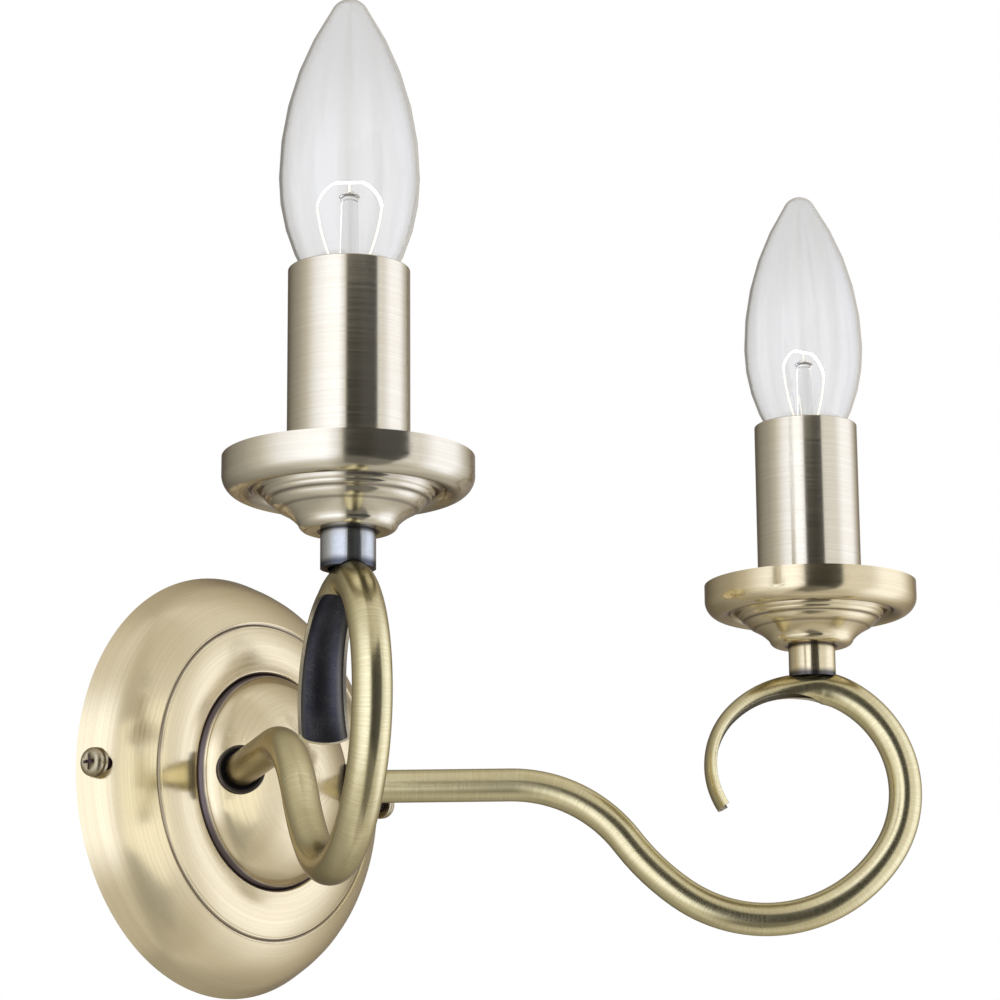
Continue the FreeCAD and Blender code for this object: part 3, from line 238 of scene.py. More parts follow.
def lathe(outline, steps=96):
    """Spin an outline round the Z axis."""
    bm = bmesh.new()
    trace(bm, outline)
    bmesh.ops.spin(bm, geom=bm.verts[:] + bm.edges[:], cent=(0, 0, 0), axis=(0, 0, 1),
                   angle=2 * math.pi, steps=steps, use_merge=True)
    return bm


def new_object(context, name, bm, *materials):
    """Turn a bmesh into an object of the scene."""
    mesh = bpy.data.meshes.new(name)
    bm.to_mesh(mesh)
    bm.free()
    for material in materials:
        mesh.materials.append(material)
    made = bpy.data.objects.new(name, mesh)
    context.scene.collection.objects.link(made)
    return made


def settle(context, piece):
    """Turn a piece's modifiers into its mesh."""
    graph = context.evaluated_depsgraph_get()
    mesh = bpy.data.meshes.new_from_object(piece.evaluated_get(graph))
    draft = piece.data
    piece.modifiers.clear()
    piece.data = mesh
    bpy.data.meshes.remove(draft)


def finish_piece(context, bm, name, body, nodes, materials, place=None, wall=None,
                 sharp=38, cutters=()):
    """Make a modelled piece an object in its place, with its sheet, holes and finish."""
    bmesh.ops.remove_doubles(bm, verts=bm.verts[:], dist=2e-6)
    if place:
        bmesh.ops.transform(bm, matrix=place, verts=bm.verts[:])
    bmesh.ops.recalc_face_normals(bm, faces=bm.faces[:])
    piece = new_object(context, name, bm, *materials)
    if wall:
        sheet = piece.modifiers.new("sheet", "SOLIDIFY")
        sheet.thickness = wall
        sheet.offset = -1
        sheet.use_even_offset = True
        sheet.material_offset = len(materials) > 1
        sheet.material_offset_rim = 2 if len(materials) > 2 else 0
        settle(context, piece)
    for cutter in cutters:
        hole = piece.modifiers.new("hole", "BOOLEAN")
        hole.object = cutter
        hole.operation = "DIFFERENCE"
        hole.solver = "EXACT"
    if cutters:
        settle(context, piece)
        for cutter in cutters:
            bpy.data.objects.remove(cutter)
    piece.data.shade_smooth()
    piece.data.set_sharp_from_angle(angle=math.radians(sharp))
    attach(piece, body)
    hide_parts(*nodes)
    return piece


def smoothed(context, node, body, material, sharp=35):
    """A CAD node's copy with its loose triangles merged and its curves shaded smooth."""
    bm = bmesh.new()
    bm.from_mesh(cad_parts[node].data)
    bmesh.ops.remove_doubles(bm, verts=bm.verts[:], dist=1e-6)
    piece = new_object(context, f"{node}_finished", bm, material)
    piece.data.shade_smooth()
    piece.data.set_sharp_from_angle(angle=math.radians(sharp))
    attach(piece, body)
    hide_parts(node)


def cutting_bar(context, radius, place, depth):
    """A round bar that cuts a hole."""
    bm = bmesh.new()
    bmesh.ops.create_cone(bm, cap_ends=True, segments=48, radius1=radius, radius2=radius,
                          depth=depth, matrix=place)
    return new_object(context, "cutting_bar", bm)


def middle(node):
    low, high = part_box(node)
    return (low + high) / 2


def lamp_place(side, height):
    """Matrix that puts a turned piece on a lamp's axis."""
    axis = middle(f"candle_sleeve_{side}")
    return Matrix.Translation((axis.x, axis.y, height))


def arm_place(side):
    """Matrix from an arm's own plane (X along, Z up) to its place."""
    lean = SIDES[side] * math.sin(ARM_ANGLE)
    along = Vector((lean, -math.cos(ARM_ANGLE), 0))
    across = Vector((0, 0, 1)).cross(along)
    turn = Matrix((along, across, (0, 0, 1))).transposed().to_4x4()
    return Matrix.Translation((0, DOME_BEHIND, 0)) @ turn


def place_on(point, direction):
    """Matrix that stands a turned piece at a point, its axis along a direction."""
    turn = Vector((0, 0, 1)).rotation_difference(Vector(direction)).to_matrix().to_4x4()
    return Matrix.Translation(point) @ turn


# ---------------------------------------------------------------- node helpers

def feed(tree, node, values):
    """Feed a node's inputs with values or with other nodes' outputs."""
    for name, value in values.items():
        if isinstance(value, bpy.types.NodeSocket):
            tree.links.new(value, node.inputs[name])
        else:
            node.inputs[name].default_value = value


def add(tree, kind, feeds=None, **settings):
    """Add a node, set it up and feed it."""
    made = tree.nodes.new(kind)
    for name, value in settings.items():
        setattr(made, name, value)
    feed(tree, made, feeds or {})
    return made


def placed(tree, group, feeds):
    """Place a node group, feed it and return its outputs."""
    return add(tree, "ShaderNodeGroup", feeds, node_tree=group).outputs


def calc(tree, operation, *values, clamp=False):
    return add(tree, "ShaderNodeMath", dict(enumerate(values)), operation=operation,
               use_clamp=clamp).outputs[0]


def times(tree, first, second):
    return calc(tree, "MULTIPLY", first, second)


def plus(tree, first, second):
    return calc(tree, "ADD", first, second)


def object_point(tree):
    return add(tree, "ShaderNodeTexCoord").outputs["Object"]


def split(tree, vector):
    return add(tree, "ShaderNodeSeparateXYZ", {0: vector}).outputs


def joined(tree, *parts):
    return add(tree, "ShaderNodeCombineXYZ", dict(enumerate(parts))).outputs[0]


def size_of(tree, vector):
    return add(tree, "ShaderNodeVectorMath", {0: vector}, operation="LENGTH").outputs[1]


def noise(tree, where, scale, detail, **more):
    return add(tree, "ShaderNodeTexNoise", {"Vector": where, "Scale": scale, "Detail": detail,
                                            **more}).outputs[0]


def ramp(tree, value, low, high, to_low=0.0, to_high=1.0, kind="SMOOTHSTEP"):
    return add(tree, "ShaderNodeMapRange", {
        "Value": value, "From Min": low, "From Max": high, "To Min": to_low, "To Max": to_high,
    }, interpolation_type=kind).outputs["Result"]


def blend_colours(tree, share, first, second):
    first, second = ((*c, 1) if isinstance(c, tuple) else c for c in (first, second))
    return add(tree, "ShaderNodeMix", {0: share, 6: first, 7: second},
               data_type="RGBA", clamp_factor=True).outputs[2]


def effect(name, inputs, outputs, fill):
    """Shared effect as a node group; fill(tree, inputs) gives its outputs in order."""
    if name in bpy.data.node_groups:
        return bpy.data.node_groups[name]
    tree = bpy.data.node_groups.new(name, "ShaderNodeTree")
    for label, kind, default in inputs:
        socket = tree.interface.new_socket(label, in_out="INPUT", socket_type=kind)
        if default is not None:
            socket.default_value = default
    for label, kind in outputs:
        tree.interface.new_socket(label, in_out="OUTPUT", socket_type=kind)
    start = add(tree, "NodeGroupInput")
    results = fill(tree, start.outputs)
    add(tree, "NodeGroupOutput", dict(zip((label for label, _ in outputs), results)))
    return tree


FLOAT, VECTOR = "NodeSocketFloat", "NodeSocketVector"


def turned_space():
    """Radius, and coordinates that run fast across the turning marks and slowly round them."""
    def fill(tree, given):
        parts = split(tree, given["Vector"])
        flat = joined(tree, parts[0], parts[1])
        radius = size_of(tree, flat)
        way = split(tree, add(tree, "ShaderNodeVectorMath", {0: flat},
                              operation="NORMALIZE").outputs[0])
        return radius, parts[2], joined(tree, radius, parts[2]), way[0], way[1]
    return effect("Turned Space", [("Vector", VECTOR, None)],
                  [("Radius", FLOAT), ("Height", FLOAT), ("Fast", VECTOR),
                   ("Slow A", FLOAT), ("Slow B", FLOAT)], fill)


def brush_grain():
    """Fine brush lines and the broader bands between them."""
    def fill(tree, given):
        def lines(scale, stretch, detail):
            fast = split(tree, add(tree, "ShaderNodeVectorMath", {
                0: given["Fast"], "Scale": scale}, operation="SCALE").outputs[0])
            slow_a, slow_b = (times(tree, given[f"Slow {way}"], stretch) for way in "AB")
            return add(tree, "ShaderNodeTexNoise", {
                "Vector": joined(tree, fast[0], fast[1], slow_a), "W": slow_b,
                "Scale": 1.0, "Detail": detail, "Roughness": 0.62,
            }, noise_dimensions="4D").outputs[0]
        fine = lines(given["Fineness"], given["Stretch"], 3.0)
        broad = lines(times(tree, given["Fineness"], 0.12),
                      times(tree, given["Stretch"], 0.4), 2.0)
        return ramp(tree, fine, 0.3, 0.7), ramp(tree, broad, 0.32, 0.68)
    return effect("Brush Grain",
                  [("Fast", VECTOR, None), ("Slow A", FLOAT, 0.0), ("Slow B", FLOAT, 0.0),
                   ("Fineness", FLOAT, 2200.0), ("Stretch", FLOAT, 6.0)],
                  [("Grain", FLOAT), ("Bands", FLOAT)], fill)


def ring_line():
    """Mask of a line round the axis, worn uneven along its edges."""
    def fill(tree, given):
        wander = noise(tree, given["Vector"], 90.0, 2.0, Roughness=0.5)
        off = calc(tree, "ABSOLUTE", calc(tree, "SUBTRACT", given["Value"], given["Place"]))
        edge = times(tree, given["Width"], ramp(tree, wander, 0.2, 0.8, 0.75, 1.2))
        return (calc(tree, "SUBTRACT", 1.0, calc(tree, "DIVIDE", off, edge), clamp=True),)
    return effect("Ring Line",
                  [("Vector", VECTOR, None), ("Value", FLOAT, 0.0), ("Place", FLOAT, 0.0),
                   ("Width", FLOAT, 0.001)], [("Mask", FLOAT)], fill)


def mottle():
    """Uneven tarnish: cloudy patches broken up by fine specks."""
    def fill(tree, given):
        cloud = noise(tree, given["Vector"], given["Scale"], 5.0, Roughness=0.6)
        specks = noise(tree, given["Vector"], times(tree, given["Scale"], 14.0), 2.0)
        return ramp(tree, cloud, 0.36, 0.66), ramp(tree, specks, 0.42, 0.62)
    return effect("Mottle", [("Vector", VECTOR, None), ("Scale", FLOAT, 60.0)],
                  [("Clouds", FLOAT), ("Specks", FLOAT)], fill)


# ---------------------------------------------------------------- materials

def once(make):
    """Let a material be made only the first time its name is asked for."""
    def get(name, *args, **settings):
        return bpy.data.materials.get(name) or make(name, *args, **settings)
    return get


def new_material(name):
    material = bpy.data.materials.new(name)
    material.use_nodes = True
    tree = material.node_tree
    return material, tree, tree.nodes["Principled BSDF"]


def tinted(colour, factors):
    return tuple(c * f for c, f in zip(colour, factors))


def dimmed(colour, factor):
    return tuple(c * factor for c in colour)


def raised(tree, height, strength):
    """Normal of a surface with a mask's fine relief."""
    return add(tree, "ShaderNodeBump", {"Height": height, "Strength": strength,
                                        "Distance": 0.00005}).outputs[0]


@once
def brass(name, colour, patina, space, masks, fineness=2200.0, stretch=6.0, rough=0.27,
          grain_depth=0.22, bump=0.05, turned=None):
    """Brushed antique brass. space(tree, point) gives the grain's coordinates, each mask where
    patina stays, and in a pan's hollow underside also painted shade, and turned the axis that its
    highlights are drawn out round."""
    material, tree, shader = new_material(name)
    colour = tuple(colour)
    point = object_point(tree)
    sockets = space(tree, point)
    lines = placed(tree, brush_grain(), {
        "Fast": sockets["Fast"], "Slow A": sockets["Slow A"], "Slow B": sockets["Slow B"],
        "Fineness": fineness, "Stretch": stretch})
    cloudy = placed(tree, mottle(), {"Vector": point, "Scale": 55.0})
    tone = colour
    for share, depth, tint in ((lines["Grain"], grain_depth, WORN), (lines["Bands"], 0.10, WORN),
                               (cloudy["Clouds"], 0.10, COLD)):
        tone = blend_colours(tree, times(tree, share, depth), tone, tinted(colour, tint))
    stain_and_shade, *others = (mask(tree, point, sockets) for mask in masks)
    for other in others:
        stain_and_shade = calc(tree, "MAXIMUM", stain_and_shade, other)
    roughness = plus(tree, rough, times(tree, lines["Grain"], 0.07))
    feed(tree, shader, {
        "Base Color": blend_colours(tree, stain_and_shade, tone, tuple(patina)),
        "Roughness": plus(tree, roughness, times(tree, stain_and_shade, 0.12)),
        "Metallic": 1.0, "Specular Tint": GRAZING, "Normal": raised(tree, lines["Grain"], bump)})
    if turned:
        round_axis = add(tree, "ShaderNodeTangent", direction_type="RADIAL", axis=turned)
        feed(tree, shader, {"Anisotropic": 0.75, "Anisotropic Rotation": 0.25,
                            "Tangent": round_axis.outputs[0]})
    return material


def turned_about(centre=(0, 0, 0), turn=(0, 0, 0)):
    """Coordinates of a turned piece round its own axis."""
    def space(tree, point):
        moved = add(tree, "ShaderNodeMapping", {
            "Vector": point, "Location": tuple(-c for c in centre), "Rotation": turn}).outputs[0]
        return placed(tree, turned_space(), {"Vector": moved})
    return space


def along_tube(tree, point):
    """Coordinates of the arm tube: fast along it, slow round it."""
    parts = split(tree, add(tree, "ShaderNodeAttribute", attribute_name="grain").outputs["Vector"])
    return {"Fast": joined(tree, parts[0]), "Slow A": times(tree, parts[1], 220.0),
            "Slow B": times(tree, parts[2], 220.0)}


def ring_mask(place, width, strength=1.0, of="Radius"):
    def mask(tree, point, sockets):
        value = placed(tree, ring_line(), {"Vector": point, "Value": sockets[of],
                                           "Place": place, "Width": width})["Mask"]
        return times(tree, ramp(tree, value, 0.0, 0.75), strength)
    return mask


def rubbed_edges(tree, point, sockets):
    """Mask of the open tail's inside that is rubbed pale along both its edges."""
    return times(tree, ramp(tree, sockets["Slow A"], 0.25, -0.85), 0.6)


def speckled(strength, scale=90.0):
    def mask(tree, point, sockets):
        found = placed(tree, mottle(), {"Vector": point, "Scale": scale})
        return times(tree, times(tree, found["Clouds"], found["Specks"]), strength)
    return mask


def recess_mask(side):
    """Mask of the cross recess in a side screw's head."""
    low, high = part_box(f"side_screw_{side}")
    front = high.x if side == "right" else -low.x
    seat = (low + high) / 2

    def mask(tree, point, sockets):
        parts = split(tree, add(tree, "ShaderNodeVectorMath", {0: point, 1: (0, seat.y, seat.z)},
                                operation="SUBTRACT").outputs[0])
        radius = size_of(tree, joined(tree, parts[1], parts[2]))
        depth = calc(tree, "SUBTRACT", front, times(tree, parts[0], SIDES[side]))
        return times(tree, ramp(tree, depth, 0.0001, 0.0006),
                     ramp(tree, radius, 0.0024, 0.0022, 0.0, 0.95))
    return mask


@once
def plain(name):
    """Plain moulded, plated or wire finish with slight unevenness."""
    colour, rough, metallic, uneven, scale, bump, coat = PLAIN[name]
    material, tree, shader = new_material(name)
    found = placed(tree, mottle(), {"Vector": object_point(tree), "Scale": scale})
    feed(tree, shader, {
        "Base Color": blend_colours(tree, times(tree, found["Clouds"], uneven * 2), colour,
                                    dimmed(colour, 0.72)),
        "Roughness": plus(tree, rough, times(tree, found["Specks"], 0.08)),
        "Metallic": metallic, "Coat Weight": coat, "Normal": raised(tree, found["Specks"], bump)})
    return material


@once
def striped(name):
    """A plain insulation with a yellow stripe"""
    material = plain(name)
    tree = material.node_tree
    shader = tree.nodes["Principled BSDF"]
    base = shader.inputs["Base Color"].links[0].from_socket
    parts = split(tree, object_point(tree))
    slope = plus(tree, parts[0], plus(tree, parts[1], parts[2]))
    stripe = ramp(tree, calc(tree, "SINE", times(tree, slope, 900.0)), 0.15, 0.35)
    feed(tree, shader, {"Base Color": blend_colours(tree, stripe, base, STRIPE_YELLOW)})
    return material


@once
def clear_glass(name, colour, rough, centre, top):
    """Clear glass with faint streaks drawn up it, and greyer towards its tip"""
    material, tree, shader = new_material(name)
    sockets = turned_about((centre.x, centre.y, 0))(tree, object_point(tree))
    height = sockets["Height"]
    where = joined(tree, sockets["Slow A"], sockets["Slow B"], times(tree, height, 6.0))
    streaks = ramp(tree, noise(tree, where, 3.2, 3.0), 0.40, 0.62, 0.0, 0.85)
    tone = blend_colours(tree, streaks, colour, dimmed(colour, 0.935))
    tip = ramp(tree, height, top - 0.045, top - 0.004)
    feed(tree, shader, {
        "Base Color": blend_colours(tree, tip, tone, dimmed(colour, 0.90)),
        "Roughness": rough, "IOR": 1.46, "Transmission Weight": 1.0})
    return material


@once
def glowing(name, colour, strength):
    """Wire that glows a little unevenly"""
    material, tree, shader = new_material(name)
    found = placed(tree, mottle(), {"Vector": object_point(tree), "Scale": 900.0})
    tone = blend_colours(tree, times(tree, found["Clouds"], 0.3), colour, dimmed(colour, 0.8))
    feed(tree, shader, {"Base Color": tone, "Emission Color": tone, "Metallic": 1.0,
                        "Emission Strength": strength, "Roughness": 0.35})
    return material


# ---------------------------------------------------------------- pieces

class SCONCE_OT_canopy(bpy.types.Operator):
    """Press the round canopy with its grooves and dome, and bore its holes"""
    bl_idname = "sconce.canopy"
    bl_label = "Canopy"

    def execute(self, context):
        sizes = context.scene.sconce_sizes
        finish = context.scene.sconce_finish
        rim = sizes.canopy_radius / MM
        bm = lathe([(rim, 0.0), (rim - 2.0, 4.4), (rim - 9.1, 12.9, 22.0), *CANOPY_FACE],
                   steps=160)
        cutters = []
        for side, sign in SIDES.items():
            place = arm_place(side) @ place_on((DOME_SHEET, 0, 0), (1, 0, 0))
            cutters.append(cutting_bar(context, sizes.tube_radius + BORE_CLEAR, place, 0.03))
            screw = middle(f"side_screw_{side}")
            place = place_on((sign * sizes.canopy_radius, screw.y, screw.z), (sign, 0, 0))
            cutters.append(cutting_bar(context, SCREW_BORE, place, 0.02))
        material = brass(
            "canopy_brass", finish.brass, finish.patina, turned_about(turn=(-math.pi / 2, 0, 0)),
            (ring_mask(0.0449, 0.0008, 0.60), ring_mask(0.0304, 0.0011, 0.92), speckled(0.03)),
            stretch=0.5, rough=0.17, grain_depth=0.30, bump=0.08, turned="Y")
        canopy = finish_piece(
            context, bm, "canopy_pressed", "fitting", ["canopy"], [material],
            place=Matrix.Rotation(math.pi / 2, 4, "X"), wall=sizes.canopy_wall, sharp=50,
            cutters=cutters)
        for vert in canopy.data.vertices:       # its edge lies flat against the wall
            vert.co.y = min(vert.co.y, 0.0)
        bpy.data.collections["lit_canopy"].objects.link(canopy)
        return {"FINISHED"}


def first_ring(bm, grain, radius, segments):
    """The tube's first ring as an open chain, its seam on the inner side of the scroll."""
    vert = bm.verts.new((ARM_ROOT * MM, 0, radius))
    vert[grain] = (ARM_ROOT * MM, -radius, -SEAM)
    geom = [vert]
    for step in range(segments):
        turned = bmesh.ops.spin(bm, geom=[geom[-1]], cent=(ARM_ROOT * MM, 0, 0), axis=(1, 0, 0),
                                angle=2 * math.pi / segments, steps=1)["geom_last"]
        vert = verts_of(turned)[0]
        angle = -math.pi + 2 * math.pi * (step + 1) / segments
        vert[grain] = (ARM_ROOT * MM, radius * math.cos(angle), radius * math.sin(angle) + SEAM)
        geom.append(vert)
    return geom + bm.edges[:]


def carried_on(bm, ring):
    """Extrude a ring, and return the new ring."""
    made = bmesh.ops.extrude_edge_only(bm, edges=edges_of(ring))["geom"]
    verts = verts_of(made)
    return verts + [e for e in edges_of(made) if all(v in verts for v in e.verts)]


def mark_along(ring, grain, along):
    for vert in verts_of(ring):
        vert[grain].x = along


def turn_point(centre, radius, heading):
    """Point of a turn, in the arm's plane, where the tube heads at an angle in degrees."""
    angle = math.radians(heading)
    return Vector((centre[0] + radius * math.sin(angle), centre[1] - radius * math.cos(angle)))


def limited(value):
    return min(max(value, 0.0), 1.0)


def tail_section(heading, tube_radius):
    """Back point, half width, depth and spread of the tail's section at a heading."""
    tube = tube_radius / MM
    centre, radius = TAIL_FIRST if heading <= TAIL_TURN else TAIL_LAST
    back = turn_point(centre, radius, heading)
    tube_back = turn_point(CROWN[0], CROWN[1] + tube, heading)
    away = limited((heading - TAIL_START) / TAIL_EASE)
    back = tube_back.lerp(back, away * away * (3 - 2 * away))
    share = limited((heading - TAIL_WIDENS) / (TAIL_END - TAIL_WIDENS))
    width = tube + (TIP_HALF - tube) * share
    depth = TIP_DEPTH + (2 * tube - TIP_DEPTH) * (1 - share) ** 4
    spread = 1 - 0.5 * limited((heading - TAIL_OPENS) / TAIL_EASE) ** 0.62
    return back, width, depth, spread


class SCONCE_OT_arms(bpy.types.Operator):
    """Bend each arm from tube, and flatten its open tail inside the scroll"""
    bl_idname = "sconce.arms"
    bl_label = "Arms"

    def execute(self, context):
        sizes = context.scene.sconce_sizes
        finish = context.scene.sconce_finish
        outside = brass(
            "tube_brass", tinted(finish.brass, TUBE_TINT), finish.patina, along_tube,
            (speckled(0.05, 120.0),), fineness=3000.0, stretch=0.3, rough=0.19, grain_depth=0.55,
            bump=0.08)
        lip = brass(
            "tube_edge", finish.silvery, finish.patina, along_tube, (speckled(0.3, 200.0),),
            fineness=1500.0, stretch=1.0, rough=0.32)
        for side in SIDES:
            # The tail's inside: patina, painted near black as shade on the left and paler as lit
            # on the right.
            inside = brass(
                f"tube_{side}_patina", TAIL_INSIDE[side], TAIL_RUBBED, along_tube,
                (rubbed_edges, speckled(0.15, 200.0)), fineness=1500.0, stretch=0.6, rough=0.36,
                grain_depth=0.4)
            finish_piece(context, self.bend(sizes.tube_radius), f"arm_{side}_bent", "fitting",
                         [f"arm_{side}"], [outside, inside, lip],
                         place=arm_place(side), wall=sizes.tube_wall, sharp=50)
        return {"FINISHED"}

    def bend(self, radius):
        bm = bmesh.new()
        grain = bm.verts.layers.float_vector.new("grain")
        ring = first_ring(bm, grain, radius, segments=36)
        at, heading, travelled = Vector((ARM_ROOT, 0.0)), 0.0, ARM_ROOT
        for run, turn_radius, turn in ARM_TURNS:
            way = Vector((math.cos(math.radians(heading)), math.sin(math.radians(heading))))
            if run:
                ring = carried_on(bm, ring)
                bmesh.ops.translate(bm, vec=(way.x * run * MM, 0, way.y * run * MM),
                                    verts=verts_of(ring))
                at += way * run
                travelled += run
                mark_along(ring, grain, travelled * MM)
            centre = at + Vector((-way.y, way.x)) * turn_radius
            steps = max(4, round(abs(turn) / TURN_STEP))
            angle = math.radians(turn / steps)
            for _ in range(steps):
                ring = bmesh.ops.spin(
                    bm, geom=ring, cent=(centre.x * MM, 0, centre.y * MM), axis=(0, -1, 0),
                    angle=angle, steps=1)["geom_last"]
                travelled += abs(turn_radius * angle)
                mark_along(ring, grain, travelled * MM)
            heading += turn
            at = centre + Vector((math.sin(math.radians(heading)),
                                  -math.cos(math.radians(heading)))) * turn_radius
        self.flatten(bm, grain, ring, radius, travelled)
        return bm

    def flatten(self, bm, grain, ring, radius, travelled):
        """Carry the tube on into its open tail, station by station."""
        heading = TAIL_START
        while heading < TAIL_END:
            step = 1.5 if heading < TAIL_FINE else 3.0
            heading = min(heading + step, TAIL_END)
            travelled += TAIL_REACH * math.radians(step)
            back, width, depth, spread = tail_section(heading, radius)
            angle = math.radians(heading)
            inward = Vector((-math.sin(angle), math.cos(angle)))
            ring = carried_on(bm, ring)
            reach = depth / (1 - math.cos(math.pi * spread))
            for vert in verts_of(ring):
                _, outer, across = vert[grain]
                lean = math.atan2(across, outer) * spread
                point = back + inward * reach * (1 - math.cos(lean))
                vert.co = (point.x * MM, width * math.sin(lean) * MM, point.y * MM)
            mark_along(ring, grain, travelled * MM)


class SCONCE_OT_collars(bpy.types.Operator):
    """Turn the collar round each arm where it leaves the dome"""
    bl_idname = "sconce.collars"
    bl_label = "Arm Collars"

    def execute(self, context):
        for side in SIDES:
            place = arm_place(side) @ place_on((COLLAR_SEAT * MM, 0, 0), (1, 0, 0))
            turn = place.to_3x3().inverted()
            material = brass(
                f"collar_{side}_brass", COLLAR_BRASS, COLLAR_PATINA,
                turned_about(turn @ place.translation, turn.to_euler()),
                (ring_mask(0.0048, 0.0016), speckled(0.5, 300.0)), rough=0.3)
            finish_piece(context, lathe(COLLAR_OUTLINE, steps=64), f"arm_collar_{side}_turned",
                         "fitting", [f"arm_collar_{side}"], [material], place=place)
        return {"FINISHED"}


class SCONCE_OT_pans(bpy.types.Operator):
    """Spin the drip pans"""
    bl_idname = "sconce.pans"
    bl_label = "Drip Pans"

    def execute(self, context):
        sizes = context.scene.sconce_sizes
        finish = context.scene.sconce_finish
        for side in SIDES:
            place = lamp_place(side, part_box(f"drip_pan_{side}")[0].z)
            material = brass(
                f"pan_{side}_brass", finish.silvery if side == "left" else finish.brass,
                finish.patina, turned_about(place.translation),
                # The first, widest ring darkens the pan's hollow underside with patina and with
                # painted shade.
                (ring_mask(0.0238, 0.0034, 0.40), ring_mask(0.0194, 0.0007, 0.55),
                 ring_mask(0.0166, 0.0007, 0.40), ring_mask(0.0069, 0.0012, 0.9), speckled(0.04)),
                fineness=2000.0, stretch=0.45, rough=0.16, grain_depth=0.34, bump=0.10,
                turned="Z")
            finish_piece(context, lathe(PAN_OUTLINE, steps=128), f"drip_pan_{side}_spun",
                         "fitting", [f"drip_pan_{side}"], [material], place=place,
                         wall=sizes.pan_wall)
        return {"FINISHED"}


class SCONCE_OT_sleeves(bpy.types.Operator):
    """Draw the brushed candle sleeves"""
    bl_idname = "sconce.sleeves"
    bl_label = "Candle Sleeves"

    def execute(self, context):
        sizes = context.scene.sconce_sizes
        finish = context.scene.sconce_finish
        outer = sizes.sleeve_radius / MM
        inner = outer - sizes.sleeve_wall / MM
        for side in SIDES:
            low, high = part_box(f"candle_sleeve_{side}")
            top = (high.z - low.z) / MM
            bm = lathe([(inner, 0.0), (outer - 0.2, 0.0), (outer, 0.2, 0.2), (outer, top - 0.3),
                        (outer - 0.3, top, 0.3), (inner + 0.1, top), (inner, top - 0.1, 0.1),
                        (inner, 0.0)], steps=128)
            place = lamp_place(side, low.z)
            material = brass(
                f"sleeve_{side}_brass", finish.silvery, finish.patina,
                turned_about(place.translation), (speckled(0.02),), fineness=2300.0, stretch=0.4,
                rough=0.15, grain_depth=0.30, bump=0.10, turned="Z")
            finish_piece(context, bm, f"candle_sleeve_{side}_drawn", f"sleeve_{side}",
                         [f"candle_sleeve_{side}"], [material], place=place)
        return {"FINISHED"}


class SCONCE_OT_bulbs(bpy.types.Operator):
    """Blow the glass, and finish the cap, stem, lead wires and filament of each bulb"""
    bl_idname = "sconce.bulbs"
    bl_label = "Bulbs"

    def execute(self, context):
        sizes = context.scene.sconce_sizes
        finish = context.scene.sconce_finish
        # The lead wires are given a painted glow, as if lit by the filament; only the filament
        # burns.
        leads = glowing("lead_wire", LEAD_COLOUR, 1.1)
        burning = glowing("burning_filament", tuple(finish.glow), 7.0)
        for side in SIDES:
            body, blown = f"bulb_{side}", f"bulb_glass_{side}"
            low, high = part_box(blown)
            tip = (high.z - low.z) / MM
            glass, stem_glass = (
                clear_glass(f"{part}_glass_{side}", tuple(finish.glass), rough, middle(blown),
                            high.z) for part, rough in (("clear", 0.0), ("stem", 0.03)))
            bm = lathe([(radius, tip - drop, *arc) for radius, drop, *arc in BULB_OUTLINE]
                       + [(BULB_NECK, 0.0)], steps=128)
            finish_piece(context, bm, f"bulb_glass_{side}_blown", body, [blown],
                         [glass], place=lamp_place(side, low.z), wall=sizes.glass_wall)
            for part, slot, material in (
                    ("cap", "nickel", plain("nickel_plate")),
                    ("insulator", "black", plain("black_glass")),
                    ("contact", "nickel", plain("nickel_plate")), ("stem", "glass", stem_glass),
                    ("leads", "nickel", leads), ("filament", "filament", burning)):
                smoothed(context, f"bulb_{part}_{side}", body, material)
        return {"FINISHED"}


class SCONCE_OT_fixings(bpy.types.Operator):
    """Finish the ferrules, side screws and everything behind the canopy and in the sleeves"""
    bl_idname = "sconce.fixings"
    bl_label = "Ferrules, Screws and Fittings"

    def execute(self, context):
        finish = context.scene.sconce_finish
        for side in SIDES:
            axis = middle(f"ferrule_{side}")
            foot, top = (corner.z - axis.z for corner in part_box(f"ferrule_{side}"))
            ferrule = brass(
                f"ferrule_{side}_brass", FERRULE_STEEL if side == "left" else finish.brass,
                FERRULE_PATINA, turned_about(axis),
                (speckled(0.10, 60.0), ring_mask(foot, 0.0026, 0.9, "Height"),
                 ring_mask(top, 0.0010, 0.7, "Height")),
                fineness=2000.0, stretch=0.5, rough=0.17, turned="Z")
            smoothed(context, f"ferrule_{side}", "fitting", ferrule)
            for part in (f"side_screw_{side}", f"side_washer_{side}"):
                material = brass(
                    f"{part}_brass", dimmed(finish.brass, 0.62), SCREW_PATINA,
                    turned_about(middle(part)), (speckled(0.35, 350.0), recess_mask(side)),
                    fineness=1500.0, rough=0.24)
                smoothed(context, part, f"screw_{side}", material)
        for name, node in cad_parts.items():
            if node.hide_render:
                continue
            kind = next(kind for start, kind in FITTINGS if name.startswith(start))
            node.data.materials.clear()
            node.data.materials.append(striped(kind) if "striped" in kind else plain(kind))
        return {"FINISHED"}


# ---------------------------------------------------------------- stage

def shine(name, strength, colour=(1, 1, 1), through=0.0):
    """Light of a studio piece, which may let a little of the light behind it through."""
    material = bpy.data.materials.new(name)
    material.use_nodes = True
    tree = material.node_tree
    tree.nodes.clear()
    surface = add(tree, "ShaderNodeEmission", {"Color": (*colour, 1), "Strength": strength})
    if through:
        surface = mixed_shader(tree, through, surface, add(tree, "ShaderNodeBsdfTransparent"))
    add(tree, "ShaderNodeOutputMaterial", {"Surface": surface.outputs[0]})
    return material


def mixed_shader(tree, share, first, second):
    return add(tree, "ShaderNodeMixShader", {0: share, 1: first.outputs[0],
                                             2: second.outputs[0]})


